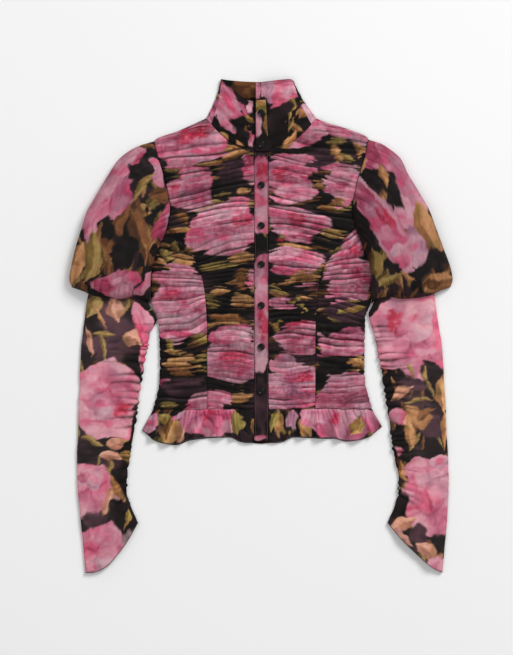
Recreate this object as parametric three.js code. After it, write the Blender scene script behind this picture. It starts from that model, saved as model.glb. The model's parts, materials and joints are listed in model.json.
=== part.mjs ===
// A fitted blouse laid flat on its back, front up: a funnel collar, ruched fronts with curved panel seams,
// a buttoned placket, a gathered flounce at the hem, bubble over-sleeves and long ruched sleeves with pointed cuffs.
// Millimetres. +X is to the right as the front is seen, +Y runs from the hem to the collar and +Z is up.
// Tables give one side of the garment as distances out from the centre front line, and both sides are made from them.
import * as THREE from 'three';

const CLOTH = 1.4; // wall of one layer of gathered chiffon
const SEAM_GAP = 0.3; // between pieces that are sewn together
const FRONT_LIFT = CLOTH + SEAM_GAP; // the front's inner face, lying on the back

const WAIST_SEAM_Y = -141; // where the body panels end and the flounce begins
const PLACKET_HALF = 11.7; // half the width of the button band
const NECK_Y = 297.5; // the front neck seam at the centre

const FRONT_DOME = 2.2; // how far the middle of the front stands above its side seams
const DOME_HALF = 188; // half width over which the front rounds down
const FOLD_HEIGHT = 3.4; // crest of a ruched fold in the middle of a panel
const FOLD_AT_SEAM = 0.3; // share of that crest left where a panel is sewn

// Rows of the centre front, from the waist seam to the neck: the outer end on the panel seam, armhole and shoulder,
// the inner end on the button band and neck seam, and how many ruched folds lie between a row and the next.
const CENTRE_FRONT = [
  { outX: 92, outY: WAIST_SEAM_Y, inX: 12.3, inY: WAIST_SEAM_Y, folds: 4 },
  { outX: 92, outY: -83, inX: 12.3, inY: -92, folds: 4 },
  { outX: 92, outY: -24, inX: 12.3, inY: -32, folds: 5 },
  { outX: 95, outY: 44, inX: 12.3, inY: 44, folds: 3 },
  { outX: 100, outY: 78, inX: 12.3, inY: 87, folds: 3 },
  { outX: 112, outY: 109, inX: 12.3, inY: 124, folds: 2 },
  { outX: 133, outY: 141, inX: 12.3, inY: 161, folds: 2 },
  { outX: 160, outY: 170, inX: 12.3, inY: 194, folds: 2 },
  { outX: 155, outY: 199, inX: 12.3, inY: 224, folds: 2 },
  { outX: 160, outY: 231, inX: 12.3, inY: 260, folds: 3 },
  { outX: 170, outY: 269, inX: 12.3, inY: NECK_Y, folds: 1 },
  { outX: 177, outY: 291, inX: 51, inY: 312, folds: 1 },
  { outX: 182, outY: 314.5, inX: 76, inY: 333, folds: 1 },
  { outX: 139, outY: 333, inX: 87, inY: 345, folds: 1 },
  { outX: 101, outY: 350, inX: 94, inY: 353, folds: 0 },
];

// Rows of the side front, from the waist seam up: the centre front row it is sewn to, and the side seam or armhole.
const SIDE_FRONT = [
  { seam: 0, outX: 184.5, outY: WAIST_SEAM_Y, folds: 3 },
  { seam: 0.85, outX: 173.4, outY: -95, folds: 2 },
  { seam: 1.54, outX: 172.6, outY: -61, folds: 3 },
  { seam: 2.25, outX: 173.4, outY: -24, folds: 2 },
  { seam: 2.78, outX: 177, outY: 14, folds: 2 },
  { seam: 3.25, outX: 187.9, outY: 44, folds: 2 },
  { seam: 3.9, outX: 188, outY: 76.5, folds: 2 },
  { seam: 4.6, outX: 185.3, outY: 105.4, folds: 2 },
  { seam: 5.37, outX: 173.4, outY: 134.3, folds: 1 },
  { seam: 6.4, outX: 163.6, outY: 158, folds: 1 },
  { seam: 6.9, outX: 161, outY: 167, folds: 0 },
];

// The armhole seam from the shoulder point to the underarm.
const ARMHOLE = [
  { x: 182, y: 314.5 },
  { x: 177, y: 291 },
  { x: 170, y: 269 },
  { x: 160, y: 231 },
  { x: 155, y: 199 },
  { x: 160, y: 170 },
  { x: 173.4, y: 134.3 },
  { x: 185.3, y: 105.4 },
];

// Back neck seam: height at a distance out from the centre back.
const BACK_NECK = [
  { x: 0, y: 335 },
  { x: 31, y: 336 },
  { x: 62, y: 340 },
  { x: 83, y: 346 },
  { x: 94, y: 352.5 },
];

// Hem of the flounce from the button band to the side: where it reaches and how high its ruffle stands there.
const FLOUNCE_HEM = [
  { x: 12.6, y: -199, crest: 1 },
  { x: 36, y: -196, crest: 4 },
  { x: 56, y: -188, crest: 8 },
  { x: 86, y: -189, crest: 8 },
  { x: 122, y: -193, crest: 9 },
  { x: 147, y: -201, crest: 8 },
  { x: 177, y: -196, crest: 8 },
  { x: 203, y: -177, crest: 4 },
];
const FLOUNCE_WAVES = 7; // ruffle waves on each side of the front
const FLOUNCE_SWING = 2.2; // how far a wave moves the hem along itself

// Outline of the over-sleeve: the outer edge from the shoulder point to its bottom corner, the inner edge down
// the side of the body, and the bottom edge across the sleeve.
const PUFF_OUTER = [
  { x: 182.8, y: 315 },
  { x: 211, y: 306 },
  { x: 241, y: 286 },
  { x: 262, y: 255 },
  { x: 280.5, y: 224 },
  { x: 297, y: 194 },
  { x: 307, y: 163 },
  { x: 316, y: 133 },
  { x: 323, y: 102 },
  { x: 326.5, y: 80 },
  { x: 323, y: 66 },
];
const PUFF_INNER = [
  { x: 186.6, y: 105.4 },
  { x: 189.4, y: 76 },
  { x: 189.6, y: 39 },
];
const PUFF_BOTTOM = [
  { x: 323, y: 66 },
  { x: 304, y: 59.5 },
  { x: 284, y: 51 },
  { x: 258, y: 47 },
  { x: 238, y: 46 },
  { x: 217.6, y: 50 },
  { x: 201, y: 47.6 },
  { x: 189.6, y: 39 },
];
const PUFF_HEIGHT = 34;
const PUFF_SEAM_HEIGHT = 6.4; // where it is sewn to the armhole
const PUFF_END_HEIGHT = 13.6; // where it closes over the sleeve
const PUFF_EDGE = 3; // half height of its rounded side edges at the seams
const PUFF_EDGE_MIDDLE = 9; // and in the middle of the bubble
const PUFF_GATHERS = 7; // gathers across its upper side, at the armhole and at the bottom
const PUFF_GATHER_DEPTH = 2;
const PUFF_ARMHOLE_GAP = 1.3; // from the armhole edge, whose panels are cut with other rows

// Sections of the sleeve from its hidden top inside the bubble to the pointed cuff: outer edge, inner seam, how far
// the section bows towards the cuff, its lift over the bubble's lower layer, and the ruched folds to the next one.
const SLEEVE = [
  { outX: 284, outY: 96, inX: 204, inY: 74, bow: 0, lift: 1.9, folds: 0 },
  { outX: 296.6, outY: 44, inX: 190, inY: 35, bow: 0, lift: 1.9, folds: 0 },
  { outX: 299, outY: 26, inX: 183, inY: 20, bow: 0, lift: 0.7, folds: 0 },
  { outX: 301, outY: 8, inX: 184.5, inY: 6, bow: 0, lift: 0, folds: 1 },
  { outX: 303.5, outY: -12, inX: 190.5, inY: -14, bow: 0, lift: 0, folds: 1 },
  { outX: 306, outY: -31, inX: 194, inY: -34, bow: 0, lift: 0, folds: 2 },
  { outX: 307.7, outY: -61, inX: 200.6, inY: -65, bow: 0, lift: 0, folds: 2 },
  { outX: 309.4, outY: -102, inX: 207, inY: -105, bow: 0, lift: 0, folds: 2 },
  { outX: 311, outY: -143, inX: 212, inY: -143, bow: 0, lift: 0, folds: 2 },
  { outX: 312, outY: -184, inX: 219, inY: -187, bow: 0, lift: 0, folds: 2 },
  { outX: 313.7, outY: -224, inX: 224, inY: -224, bow: 0, lift: 0, folds: 2 },
  { outX: 312.8, outY: -265, inX: 229.5, inY: -255, bow: 3, lift: 0, folds: 1 },
  { outX: 310, outY: -304, inX: 229.5, inY: -282, bow: 8, lift: 0, folds: 1 },
  { outX: 306, outY: -347, inX: 222.5, inY: -306, bow: 14, lift: 0, folds: 0 },
  { outX: 302.6, outY: -384, inX: 214, inY: -326, bow: 19, lift: 0, folds: 0 },
  { outX: 299.2, outY: -420, inX: 210.5, inY: -335, bow: 24, lift: 0, folds: 0 },
];
const SLEEVE_HEIGHT = 9.4;
const SLEEVE_EDGE = 2.7; // half height of its folded edges
const SLEEVE_FOLD = 2; // how far a ruched fold stands out at the inner seam
const SLEEVE_FOLD_MIDDLE = 0.5; // share of it by which the folds lie outside the seam line

// The collar band from the end that lies under the button band, round the left fold, the back and the right fold,
// to the end on top. neck is where its foot is sewn: 0 is the centre back, 4 a shoulder seam, 8 where the neck seam
// of a front meets the button band, and 9 the end of the collar, lapped over the centre front.
const COLLAR = [
  { neck: -9, footZ: 2.9, topX: 4, topY: 382, topZ: 10 },
  { neck: -8, footZ: 3.1, topX: -20, topY: 383.5, topZ: 11 },
  { neck: -7, footZ: 4, topX: -44, topY: 398, topZ: 12 },
  { neck: -6, footZ: 4.2, topX: -62, topY: 415, topZ: 9.5 },
  { neck: -5, footZ: 3.6, topX: -68, topY: 419.5, topZ: 5 },
  { neck: -4, footZ: 2.3, topX: -68, topY: 420.5, topZ: 2.6 },
  { neck: -3, footZ: 1.1, topX: -58, topY: 419, topZ: 0.8 },
  { neck: -2, footZ: 0.8, topX: -30, topY: 416.5, topZ: 0.8 },
  { neck: 0, footZ: 0.8, topX: 0, topY: 415.5, topZ: 0.8 },
  { neck: 2, footZ: 0.8, topX: 26, topY: 416.5, topZ: 0.8 },
  { neck: 3, footZ: 1.1, topX: 46, topY: 419, topZ: 0.8 },
  { neck: 4, footZ: 2.3, topX: 54, topY: 420.5, topZ: 2.6 },
  { neck: 5, footZ: 4, topX: 54, topY: 420.5, topZ: 5.4 },
  { neck: 6, footZ: 4.6, topX: 48, topY: 420, topZ: 9 },
  { neck: 7, footZ: 5, topX: 29, topY: 418, topZ: 13 },
  { neck: 8, footZ: 5.6, topX: 6, topY: 415, topZ: 15 },
  { neck: 9, footZ: 5.9, topX: -9.4, topY: 413, topZ: 15 },
];
const COLLAR_LAP = 21.5; // how far each end of its foot passes the edge of the front
const COLLAR_WAIST = 3.5; // how far its folded sides bow inwards halfway up
const COLLAR_WALL = 1.6; // two layers and their interfacing
const COLLAR_BAND_TOP = 0.74; // how far up the collar the button band is sewn on
const BAND_ON_COLLAR = 1.2; // thickness of that band

const STAND_Z = FRONT_LIFT; // the button stand, under the band
const STAND_WALL = 1.3;
const PLACKET_Z = STAND_Z + STAND_WALL + SEAM_GAP;
const PLACKET_WALL = 1.8;
const PLACKET_FOOT_Y = -196;
const PLACKET_BOW = 0.3; // how far the band wanders from straight
const PLACKET_RIPPLE = 95; // length of one wander
const BAND_PUFF = 0.2; // how far its middle stands above its edges

const BUTTON_RADIUS = 5.8;
const BUTTON_PROFILE = [
  [0, 0],
  [0.76, 0],
  [1, 0.9],
  [1, 2.1],
  [0.85, 2.7],
  [0.66, 2],
  [0, 1.8],
]; // radius as a share of the button's, and height
const COLLAR_BUTTON_Y = [362, 309];
const PLACKET_BUTTON_Y = [240, 171, 105, 35, -35.5, -110.5];

// How the right side of the garment lies differently from the left side's mirror image, at each height: how far its
// sleeve lies inwards, and how far the side of its body reaches out and up.
const LAY_RIGHT = [
  { y: 356, sleeveIn: 0, bodyOut: 0, up: 0 },
  { y: 333, sleeveIn: 0, bodyOut: 0, up: 5.5 },
  { y: 314, sleeveIn: 1, bodyOut: 0, up: 3 },
  { y: 290, sleeveIn: 4, bodyOut: 0, up: 0.5 },
  { y: 255, sleeveIn: 9.5, bodyOut: 0, up: 0 },
  { y: 190, sleeveIn: 9.5, bodyOut: 0, up: 0 },
  { y: 132, sleeveIn: 6, bodyOut: 0, up: 0 },
  { y: 95, sleeveIn: 1, bodyOut: 0, up: 0 },
  { y: 44, sleeveIn: 0, bodyOut: -1, up: 0 },
  { y: -24, sleeveIn: 1.5, bodyOut: 2.6, up: 0 },
  { y: -92, sleeveIn: 1, bodyOut: 3.2, up: 0 },
  { y: -141, sleeveIn: 1.4, bodyOut: 4.6, up: 0 },
  { y: -176, sleeveIn: -2, bodyOut: 1.5, up: 6 },
  { y: -201, sleeveIn: -3, bodyOut: 1, up: 6 },
  { y: -270, sleeveIn: -5, bodyOut: 1, up: 2 },
  { y: -340, sleeveIn: -8, bodyOut: 1, up: 0 },
  { y: -425, sleeveIn: -8, bodyOut: 1, up: 0 },
];

function smoothstep(low, high, value) {
  return THREE.MathUtils.smoothstep(value, low, high);
}

// The value at a real row number in a column of numbers, by a cubic that never overshoots its rows.
function along(column, row) {
  const last = column.length - 1;
  const i = Math.min(Math.max(Math.floor(row), 0), last - 1);
  const f = row - i;
  const step = (j) => column[j + 1] - column[j];
  const slope = (j) => {
    if (j === 0) return step(0);
    if (j === last) return step(last - 1);
    const product = step(j - 1) * step(j);
    return product <= 0 ? 0 : (2 * product) / (step(j - 1) + step(j));
  };
  const fromHere = column[i] * (1 + f * f * (2 * f - 3)) + slope(i) * f * (1 - f) * (1 - f);
  const fromNext = column[i + 1] * f * f * (3 - 2 * f) + slope(i + 1) * f * f * (f - 1);
  return fromHere + fromNext;
}

function reader(table, ...names) {
  const columns = names.map((name) => table.map((row) => row[name]));
  return (row) => columns.map((column) => along(column, row));
}

// The value of a column where another, which rises or falls all the way, has a given value.
function lookUp(table, key, name, value) {
  const keys = table.map((row) => row[key]);
  const rising = keys.at(-1) > keys[0];
  const passed = (k) => (rising ? k <= value : k >= value);
  const i = Math.min(Math.max(keys.filter(passed).length - 1, 0), keys.length - 2);
  const f = THREE.MathUtils.clamp((value - keys[i]) / (keys[i + 1] - keys[i]), 0, 1);
  return along(table.map((row) => row[name]), i + f);
}

// Row numbers and fold phases for a table with a folds column: perFold samples for each fold, and perPlain for each
// stretch between rows that has none.
function foldRows(table, perFold, perPlain) {
  const samples = [];
  let foldsSoFar = 0;
  table.slice(0, -1).forEach((row, i) => {
    const steps = row.folds ? row.folds * perFold : perPlain;
    for (let k = 0; k < steps; k += 1) {
      samples.push({ row: i + k / steps, fold: foldsSoFar + (row.folds * k) / steps });
    }
    foldsSoFar += row.folds;
  });
  samples.push({ row: table.length - 1, fold: foldsSoFar });
  return samples;
}

// Height of a ruched fold, from 0 in its crease to 1 on its crest. Folds differ, by their number.
function foldCrest(fold, phaseShift) {
  const number = Math.floor(fold + 1e-6);
  const within = fold - number;
  const strength = 0.72 + 0.28 * Math.sin(number * 2.4 + phaseShift);
  return within < 1e-3 ? 0 : strength * (within < 0.5 ? 1 : 0.8);
}

function frontDome(x) {
  return FRONT_DOME * (1 - Math.min(1, Math.abs(x) / DOME_HALF) ** 4);
}

// A closed wall between two grids of points, [row][column]. A round wall joins its last column to its first.
function wallBetween(outer, inner, round = false) {
  const rows = outer.length;
  const columns = outer[0].length;
  const spans = round ? columns : columns - 1;
  const faces = [];
  const at = (face, row, column) => (face * rows + row) * columns + (column % columns);
  const quad = (a, b, c, d) => faces.push(a, b, c, a, c, d);
  for (let c = 0; c < spans; c += 1) {
    for (let r = 0; r < rows - 1; r += 1) {
      quad(at(0, r, c), at(0, r, c + 1), at(0, r + 1, c + 1), at(0, r + 1, c));
      quad(at(1, r, c), at(1, r + 1, c), at(1, r + 1, c + 1), at(1, r, c + 1));
    }
    const end = rows - 1;
    quad(at(0, 0, c), at(1, 0, c), at(1, 0, c + 1), at(0, 0, c + 1));
    quad(at(0, end, c), at(0, end, c + 1), at(1, end, c + 1), at(1, end, c));
  }
  for (let r = 0; r < rows - 1 && !round; r += 1) {
    const side = columns - 1;
    quad(at(0, r, 0), at(0, r + 1, 0), at(1, r + 1, 0), at(1, r, 0));
    quad(at(0, r + 1, side), at(0, r, side), at(1, r, side), at(1, r + 1, side));
  }
  const points = [...outer.flat(), ...inner.flat()];
  let volume = 0;
  for (let i = 0; i < faces.length; i += 3) {
    const [a, b, c] = [points[faces[i]], points[faces[i + 1]], points[faces[i + 2]]];
    volume += a.dot(new THREE.Vector3().crossVectors(b, c));
  }
  if (volume < 0) faces.reverse();
  const geometry = new THREE.BufferGeometry().setFromPoints(points);
  geometry.setIndex(faces);
  return geometry;
}

function ringCentre(ring) {
  return ring.reduce((sum, p) => sum.add(p), new THREE.Vector3()).divideScalar(ring.length);
}

// Unit normals of a grid, outwards from a tube and upwards from an open sheet. On a tube, the direction from ring to
// ring is that of the ring centres, as a corner point's own one can run along its ring.
function gridNormals(grid, round) {
  const columns = grid[0].length;
  const normals = grid.map((line, r) => {
    const next = grid[Math.min(r + 1, grid.length - 1)];
    const last = grid[Math.max(r - 1, 0)];
    const axis = ringCentre(next).sub(ringCentre(last));
    return line.map((point, c) => {
      const before = round ? (c + columns - 1) % columns : Math.max(c - 1, 0);
      const after = round ? (c + 1) % columns : Math.min(c + 1, columns - 1);
      const across = line[after].clone().sub(line[before]);
      const down = next[c].clone().sub(last[c]);
      if (round) down.setX(axis.x).setY(axis.y);
      return across.cross(down).normalize();
    });
  });
  const middle = Math.floor(grid.length / 2);
  const top = grid[middle].reduce((best, p, c) => (p.z > grid[middle][best].z ? c : best), 0);
  if (normals[middle][top].z < 0) normals.flat().forEach((normal) => normal.negate());
  return normals;
}

function moved(grid, normals, distance) {
  return grid.map((line, r) => line.map((p, c) => p.clone().addScaledVector(normals[r][c], distance)));
}

// The right side doesn't lie as the exact mirror image of the left.
function layOut(geometry) {
  const position = geometry.getAttribute('position');
  for (let i = 0; i < position.count; i += 1) {
    const [x, y] = [position.getX(i), position.getY(i)];
    const [sleeveIn, bodyOut, up] = ['sleeveIn', 'bodyOut', 'up'].map((name) => lookUp(LAY_RIGHT, 'y', name, y));
    position.setX(i, x + bodyOut * smoothstep(100, 172, x) - sleeveIn * smoothstep(165, 260, x));
    position.setY(i, y + up * smoothstep(94, 150, x) * (1 - smoothstep(205, 225, x)));
  }
  return geometry;
}

const blouse = new THREE.Group();

function material(hex, roughness) {
  return new THREE.MeshStandardMaterial({ color: hex, roughness, metalness: 0, flatShading: true });
}

const ROSE_CHIFFON = material('#b9708f', 0.85);
const DARK_CHIFFON = material('#3a2f33', 0.85);
const TAN_CHIFFON = material('#8a6b45', 0.85);
const BLACK_BUTTON = material('#121214', 0.3);

function addPiece(name, geometry, finish) {
  geometry.computeVertexNormals();
  const mesh = new THREE.Mesh(geometry, finish);
  mesh.name = name;
  blouse.add(mesh);
  return mesh;
}

// The two sides as the front is seen, and the share of the bow of the cuff's edge that each sleeve has.
const SIDES = [
  { word: 'left', sign: -1, cuffBow: 1 },
  { word: 'right', sign: 1, cuffBow: 0.5 },
];

// The body

const centreRow = reader(CENTRE_FRONT, 'outX', 'outY', 'inX', 'inY');
const sideRow = reader(SIDE_FRONT, 'seam', 'outX', 'outY');
const FRONT_COLUMNS = 3;

// A ruched panel: rows run between its two edges, and folds rise between its seams.
function ruchedPanel(samples, edges, sign, phaseShift) {
  const outer = samples.map(({ row, fold }) => {
    const [x0, y0, x1, y1] = edges(row);
    return Array.from({ length: FRONT_COLUMNS + 1 }, (_, c) => {
      const u = c / FRONT_COLUMNS;
      const rise = FOLD_AT_SEAM + (1 - FOLD_AT_SEAM) * Math.sin(Math.PI * u) ** 0.7;
      const x = THREE.MathUtils.lerp(x0, x1, u);
      const y = THREE.MathUtils.lerp(y0, y1, u);
      const z = FRONT_LIFT + CLOTH + frontDome(x) + FOLD_HEIGHT * rise * foldCrest(fold, phaseShift);
      return new THREE.Vector3(sign * x, y, z);
    });
  });
  const inner = outer.map((line) => line.map((p) => new THREE.Vector3(p.x, p.y, p.z - CLOTH)));
  return layOut(wallBetween(outer, inner));
}

SIDES.forEach(({ word, sign }) => {
  const centreEdges = (row) => centreRow(row);
  addPiece(`front_centre_${word}`, ruchedPanel(foldRows(CENTRE_FRONT, 3, 2), centreEdges, sign, sign), ROSE_CHIFFON);

  const sideEdges = (row) => {
    const [seam, outX, outY] = sideRow(row);
    const [seamX, seamY] = centreRow(seam);
    return [outX, outY, seamX + 2 * SEAM_GAP, seamY];
  };
  addPiece(`front_side_${word}`, ruchedPanel(foldRows(SIDE_FRONT, 3, 2), sideEdges, sign, 2 + sign), ROSE_CHIFFON);
});

// The back is one flat panel under the fronts, with their outline and a shallow neck.
function backNeck(x) {
  return lookUp(BACK_NECK, 'x', 'y', Math.abs(x));
}

function backOutline() {
  const half = [];
  for (let row = 0; row <= 7; row += 0.5) {
    const [, x, y] = sideRow(row);
    half.push(new THREE.Vector2(x, y));
  }
  const armhole = reader(ARMHOLE, 'x', 'y');
  for (let row = 6.5; row >= 0; row -= 0.5) half.push(new THREE.Vector2(...armhole(row)));
  half.push(new THREE.Vector2(139, 333));
  for (const x of [94, 83, 72, 60, 45, 30, 15, 0]) half.push(new THREE.Vector2(x, backNeck(x)));
  const otherHalf = half.slice(0, -1).reverse();
  return [...half, ...otherHalf.map((p) => new THREE.Vector2(-p.x, p.y))];
}

function flatSheet(outline, thickness) {
  return new THREE.ExtrudeGeometry(new THREE.Shape(outline), { depth: thickness, bevelEnabled: false });
}

addPiece('back_panel', layOut(flatSheet(backOutline(), CLOTH)), DARK_CHIFFON);

// The flounce

const hemRow = reader(FLOUNCE_HEM, 'x', 'y', 'crest');
const FLOUNCE_TOP_X = 184; // the waist seam's length on one side
const WAVE_STEPS = 4; // columns for one ruffle wave
const FLOUNCE_ROWS = 3;

function frontFlounce(sign) {
  const columns = FLOUNCE_WAVES * WAVE_STEPS;
  const outer = Array.from({ length: FLOUNCE_ROWS + 1 }, (_, r) => {
    const down = r / FLOUNCE_ROWS;
    return Array.from({ length: columns + 1 }, (_unused, c) => {
      const u = c / columns;
      const [hemX, hemY, crest] = hemRow(u * (FLOUNCE_HEM.length - 1));
      const turn = 2 * Math.PI * FLOUNCE_WAVES * u;
      const topX = THREE.MathUtils.lerp(FLOUNCE_HEM[0].x, FLOUNCE_TOP_X, u);
      const swing = c === 0 ? 0 : FLOUNCE_SWING * Math.sin(turn) * down;
      const x = THREE.MathUtils.lerp(topX, hemX, down) + swing;
      const y = THREE.MathUtils.lerp(WAIST_SEAM_Y - SEAM_GAP, hemY, down);
      const ruffle = (0.5 - 0.5 * Math.cos(turn)) * crest * (0.25 + 0.75 * down);
      return new THREE.Vector3(sign * x, y, FRONT_LIFT + CLOTH + frontDome(topX) * (1 - down) + ruffle);
    });
  });
  const inner = outer.map((line) => line.map((p) => new THREE.Vector3(p.x, p.y, p.z - CLOTH)));
  return layOut(wallBetween(outer, inner));
}

function backFlounceOutline() {
  const half = [];
  for (let row = 0; row <= FLOUNCE_HEM.length - 1; row += 0.5) {
    const [x, y] = hemRow(row);
    half.push(new THREE.Vector2(row === 0 ? 0 : x - 1, y - 2));
  }
  half.push(new THREE.Vector2(FLOUNCE_TOP_X, WAIST_SEAM_Y - SEAM_GAP));
  const otherHalf = half.slice(1).reverse();
  return [...half, ...otherHalf.map((p) => new THREE.Vector2(-p.x, p.y))];
}

SIDES.forEach(({ word, sign }) => {
  addPiece(`flounce_front_${word}`, frontFlounce(sign), ROSE_CHIFFON);
});
addPiece('flounce_back', layOut(flatSheet(backFlounceOutline(), CLOTH)), DARK_CHIFFON);

// The button band, and the stand that the buttons are sewn to under it

function bandStrip(bottomZ, wall, half, topY, footY) {
  const rows = 24;
  const layer = (z) =>
    Array.from({ length: rows + 1 }, (_, r) => {
      const y = THREE.MathUtils.lerp(footY, topY, r / rows);
      const wander = PLACKET_BOW * Math.sin((2 * Math.PI * y) / PLACKET_RIPPLE);
      return [-half, 0, half].map((x) => new THREE.Vector3(x + wander, y, z + (x ? 0 : BAND_PUFF)));
    });
  return wallBetween(layer(bottomZ + wall), layer(bottomZ));
}

addPiece('button_stand', bandStrip(STAND_Z, STAND_WALL, PLACKET_HALF, NECK_Y, PLACKET_FOOT_Y + 1), DARK_CHIFFON);
addPiece('placket', bandStrip(PLACKET_Z, PLACKET_WALL, PLACKET_HALF, NECK_Y, PLACKET_FOOT_Y), ROSE_CHIFFON);

// The collar: one band whose foot follows the neck seams

function neckSeam(neck) {
  const out = Math.abs(neck);
  const side = Math.sign(neck);
  const frontRow = CENTRE_FRONT.length + 3 - out;
  if (out <= 4) {
    const [x, y] = backNeckRow(out);
    return [side * x, y + 3 * SEAM_GAP];
  }
  const [, , x, y] = centreRow(out > 8 ? 10 : frontRow);
  return [side * (x - Math.max(0, out - 8) * COLLAR_LAP), y + 2 * SEAM_GAP];
}

const backNeckRow = reader(BACK_NECK, 'x', 'y');
const collarRow = reader(COLLAR, 'neck', 'footZ', 'topX', 'topY', 'topZ');

// A point of the collar's middle surface, by station and by how far up it is. The band bellies out a little.
function collarPoint(station, up) {
  const [neck, footZ, topX, topY, topZ] = collarRow(station);
  const [footX, footY] = neckSeam(neck);
  const belly = 1.6 * Math.sin(Math.PI * up) * smoothstep(1.2, 5, footZ);
  const x = THREE.MathUtils.lerp(footX, topX, up);
  const waist = COLLAR_WAIST * Math.sin(Math.PI * up) * smoothstep(15, 55, Math.abs(x));
  return new THREE.Vector3(
    x - Math.sign(x) * waist,
    THREE.MathUtils.lerp(footY, topY, up),
    THREE.MathUtils.lerp(footZ, topZ, up) + belly,
  );
}

function collarGrid(fromStation, toStation, steps, rows, topShare) {
  return Array.from({ length: rows + 1 }, (_, r) =>
    Array.from({ length: steps + 1 }, (_unused, c) =>
      collarPoint(THREE.MathUtils.lerp(fromStation, toStation, c / steps), (topShare * r) / rows),
    ),
  );
}

const COLLAR_STEPS = 3; // between stations
const lastStation = COLLAR.length - 1;
const collarMiddle = collarGrid(0, lastStation, lastStation * COLLAR_STEPS, 5, 1);
const collarNormals = gridNormals(collarMiddle, false);
addPiece(
  'collar',
  wallBetween(
    moved(collarMiddle, collarNormals, COLLAR_WALL / 2),
    moved(collarMiddle, collarNormals, -COLLAR_WALL / 2),
  ),
  ROSE_CHIFFON,
);

const bandMiddle = collarGrid(lastStation - 1, lastStation, 3, 6, COLLAR_BAND_TOP);
const bandNormals = gridNormals(bandMiddle, false);
const bandInside = COLLAR_WALL / 2 + SEAM_GAP;
addPiece(
  'collar_band',
  wallBetween(
    moved(bandMiddle, bandNormals, bandInside + BAND_ON_COLLAR),
    moved(bandMiddle, bandNormals, bandInside),
  ),
  TAN_CHIFFON,
);

// Tubes that lie flat: an angle of 0 is the outer edge, half a turn is the inner edge, and the second half of the
// turn is the layer on the floor.

function flatRing(steps, point) {
  return Array.from({ length: steps }, (_, k) => {
    const angle = (2 * Math.PI * k) / steps;
    return point(angle, 0.5 - 0.5 * Math.cos(angle));
  });
}

const FLOOR_SPAN = 0.38; // how soon the lower layer comes down from its edge to the floor

function ringHeight(angle, edge, height, fullness) {
  const rise = Math.sin(angle);
  if (rise >= 0) return edge + (height - edge) * rise ** fullness;
  return edge * Math.max(0, 1 + rise / FLOOR_SPAN) ** 2;
}

function tubeWall(middle, wave) {
  const normals = gridNormals(middle, true);
  const waved = middle.map((ring, r) => ring.map((p, c) => p.clone().addScaledVector(normals[r][c], wave[r][c])));
  return wallBetween(waved, moved(waved, normals, -CLOTH), true);
}

// The over-sleeve bubble

const puffOuter = reader(PUFF_OUTER, 'x', 'y');
const puffInner = reader(PUFF_INNER, 'x', 'y');
const puffBottom = reader(PUFF_BOTTOM, 'x', 'y');
const armholeCurve = reader(ARMHOLE, 'x', 'y');

// A point of the bubble's outline patch: s runs from the armhole to the bottom edge, w from its outer to inner edge.
function puffPlan(s, w) {
  const outer = puffOuter(s * (PUFF_OUTER.length - 1));
  const inner = puffInner(s * (PUFF_INNER.length - 1));
  const seam = armholeCurve(w * (ARMHOLE.length - 1));
  seam[0] += PUFF_ARMHOLE_GAP;
  const bottom = puffBottom(w * (PUFF_BOTTOM.length - 1));
  const corner = (row, side) => (side ? puffInner(row * (PUFF_INNER.length - 1)) : puffOuter(row * (PUFF_OUTER.length - 1)));
  return [0, 1].map((axis) => {
    const across = (1 - w) * outer[axis] + w * inner[axis];
    const down = (1 - s) * seam[axis] + s * bottom[axis];
    const corners =
      (1 - s) * ((1 - w) * corner(0, 0)[axis] + w * corner(0, 1)[axis]) +
      s * ((1 - w) * corner(1, 0)[axis] + w * corner(1, 1)[axis]);
    return across + down - corners;
  });
}

function puffCrown(s) {
  if (s < 0.5) {
    return PUFF_SEAM_HEIGHT + (PUFF_HEIGHT - PUFF_SEAM_HEIGHT) * Math.sin(Math.PI * Math.min(s, 0.5)) ** 0.75;
  }
  const fall = (s - 0.5) / 0.5;
  return PUFF_END_HEIGHT + (PUFF_HEIGHT - PUFF_END_HEIGHT) * Math.sqrt(Math.max(0, 1 - fall ** 2.4));
}

const PUFF_ROWS = [0, 0.03, 0.08, 0.16, 0.26, 0.38, 0.5, 0.62, 0.74, 0.84, 0.92, 0.97, 1];
const PUFF_STEPS = 4 * PUFF_GATHERS;

function puffSleeve(sign) {
  const middle = PUFF_ROWS.map((s) => {
    const edge = THREE.MathUtils.lerp(PUFF_EDGE, PUFF_EDGE_MIDDLE, Math.sin(Math.PI * s));
    return flatRing(PUFF_STEPS, (angle, w) => {
      const [x, y] = puffPlan(s, w);
      return new THREE.Vector3(sign * x, y, ringHeight(angle, edge, puffCrown(s), 0.75));
    });
  });
  const wave = PUFF_ROWS.map((s) => {
    const atSeam = smoothstep(0, 0.08, s) * (1 - smoothstep(0.1, 0.5, s));
    const atBottom = smoothstep(0.7, 0.92, s) * (1 - smoothstep(0.94, 1, s));
    return flatRing(PUFF_STEPS, (angle) => {
      const above = Math.max(0, Math.sin(angle)) ** 0.5;
      return PUFF_GATHER_DEPTH * (atSeam + atBottom) * above * Math.cos(2 * PUFF_GATHERS * angle);
    });
  });
  return layOut(tubeWall(middle, wave));
}

SIDES.forEach(({ word, sign }) => {
  addPiece(`puff_${word}`, puffSleeve(sign), TAN_CHIFFON);
});

// The long sleeve

const sleeveRow = reader(SLEEVE, 'outX', 'outY', 'inX', 'inY', 'bow', 'lift');
const SLEEVE_STEPS = 14;

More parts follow.
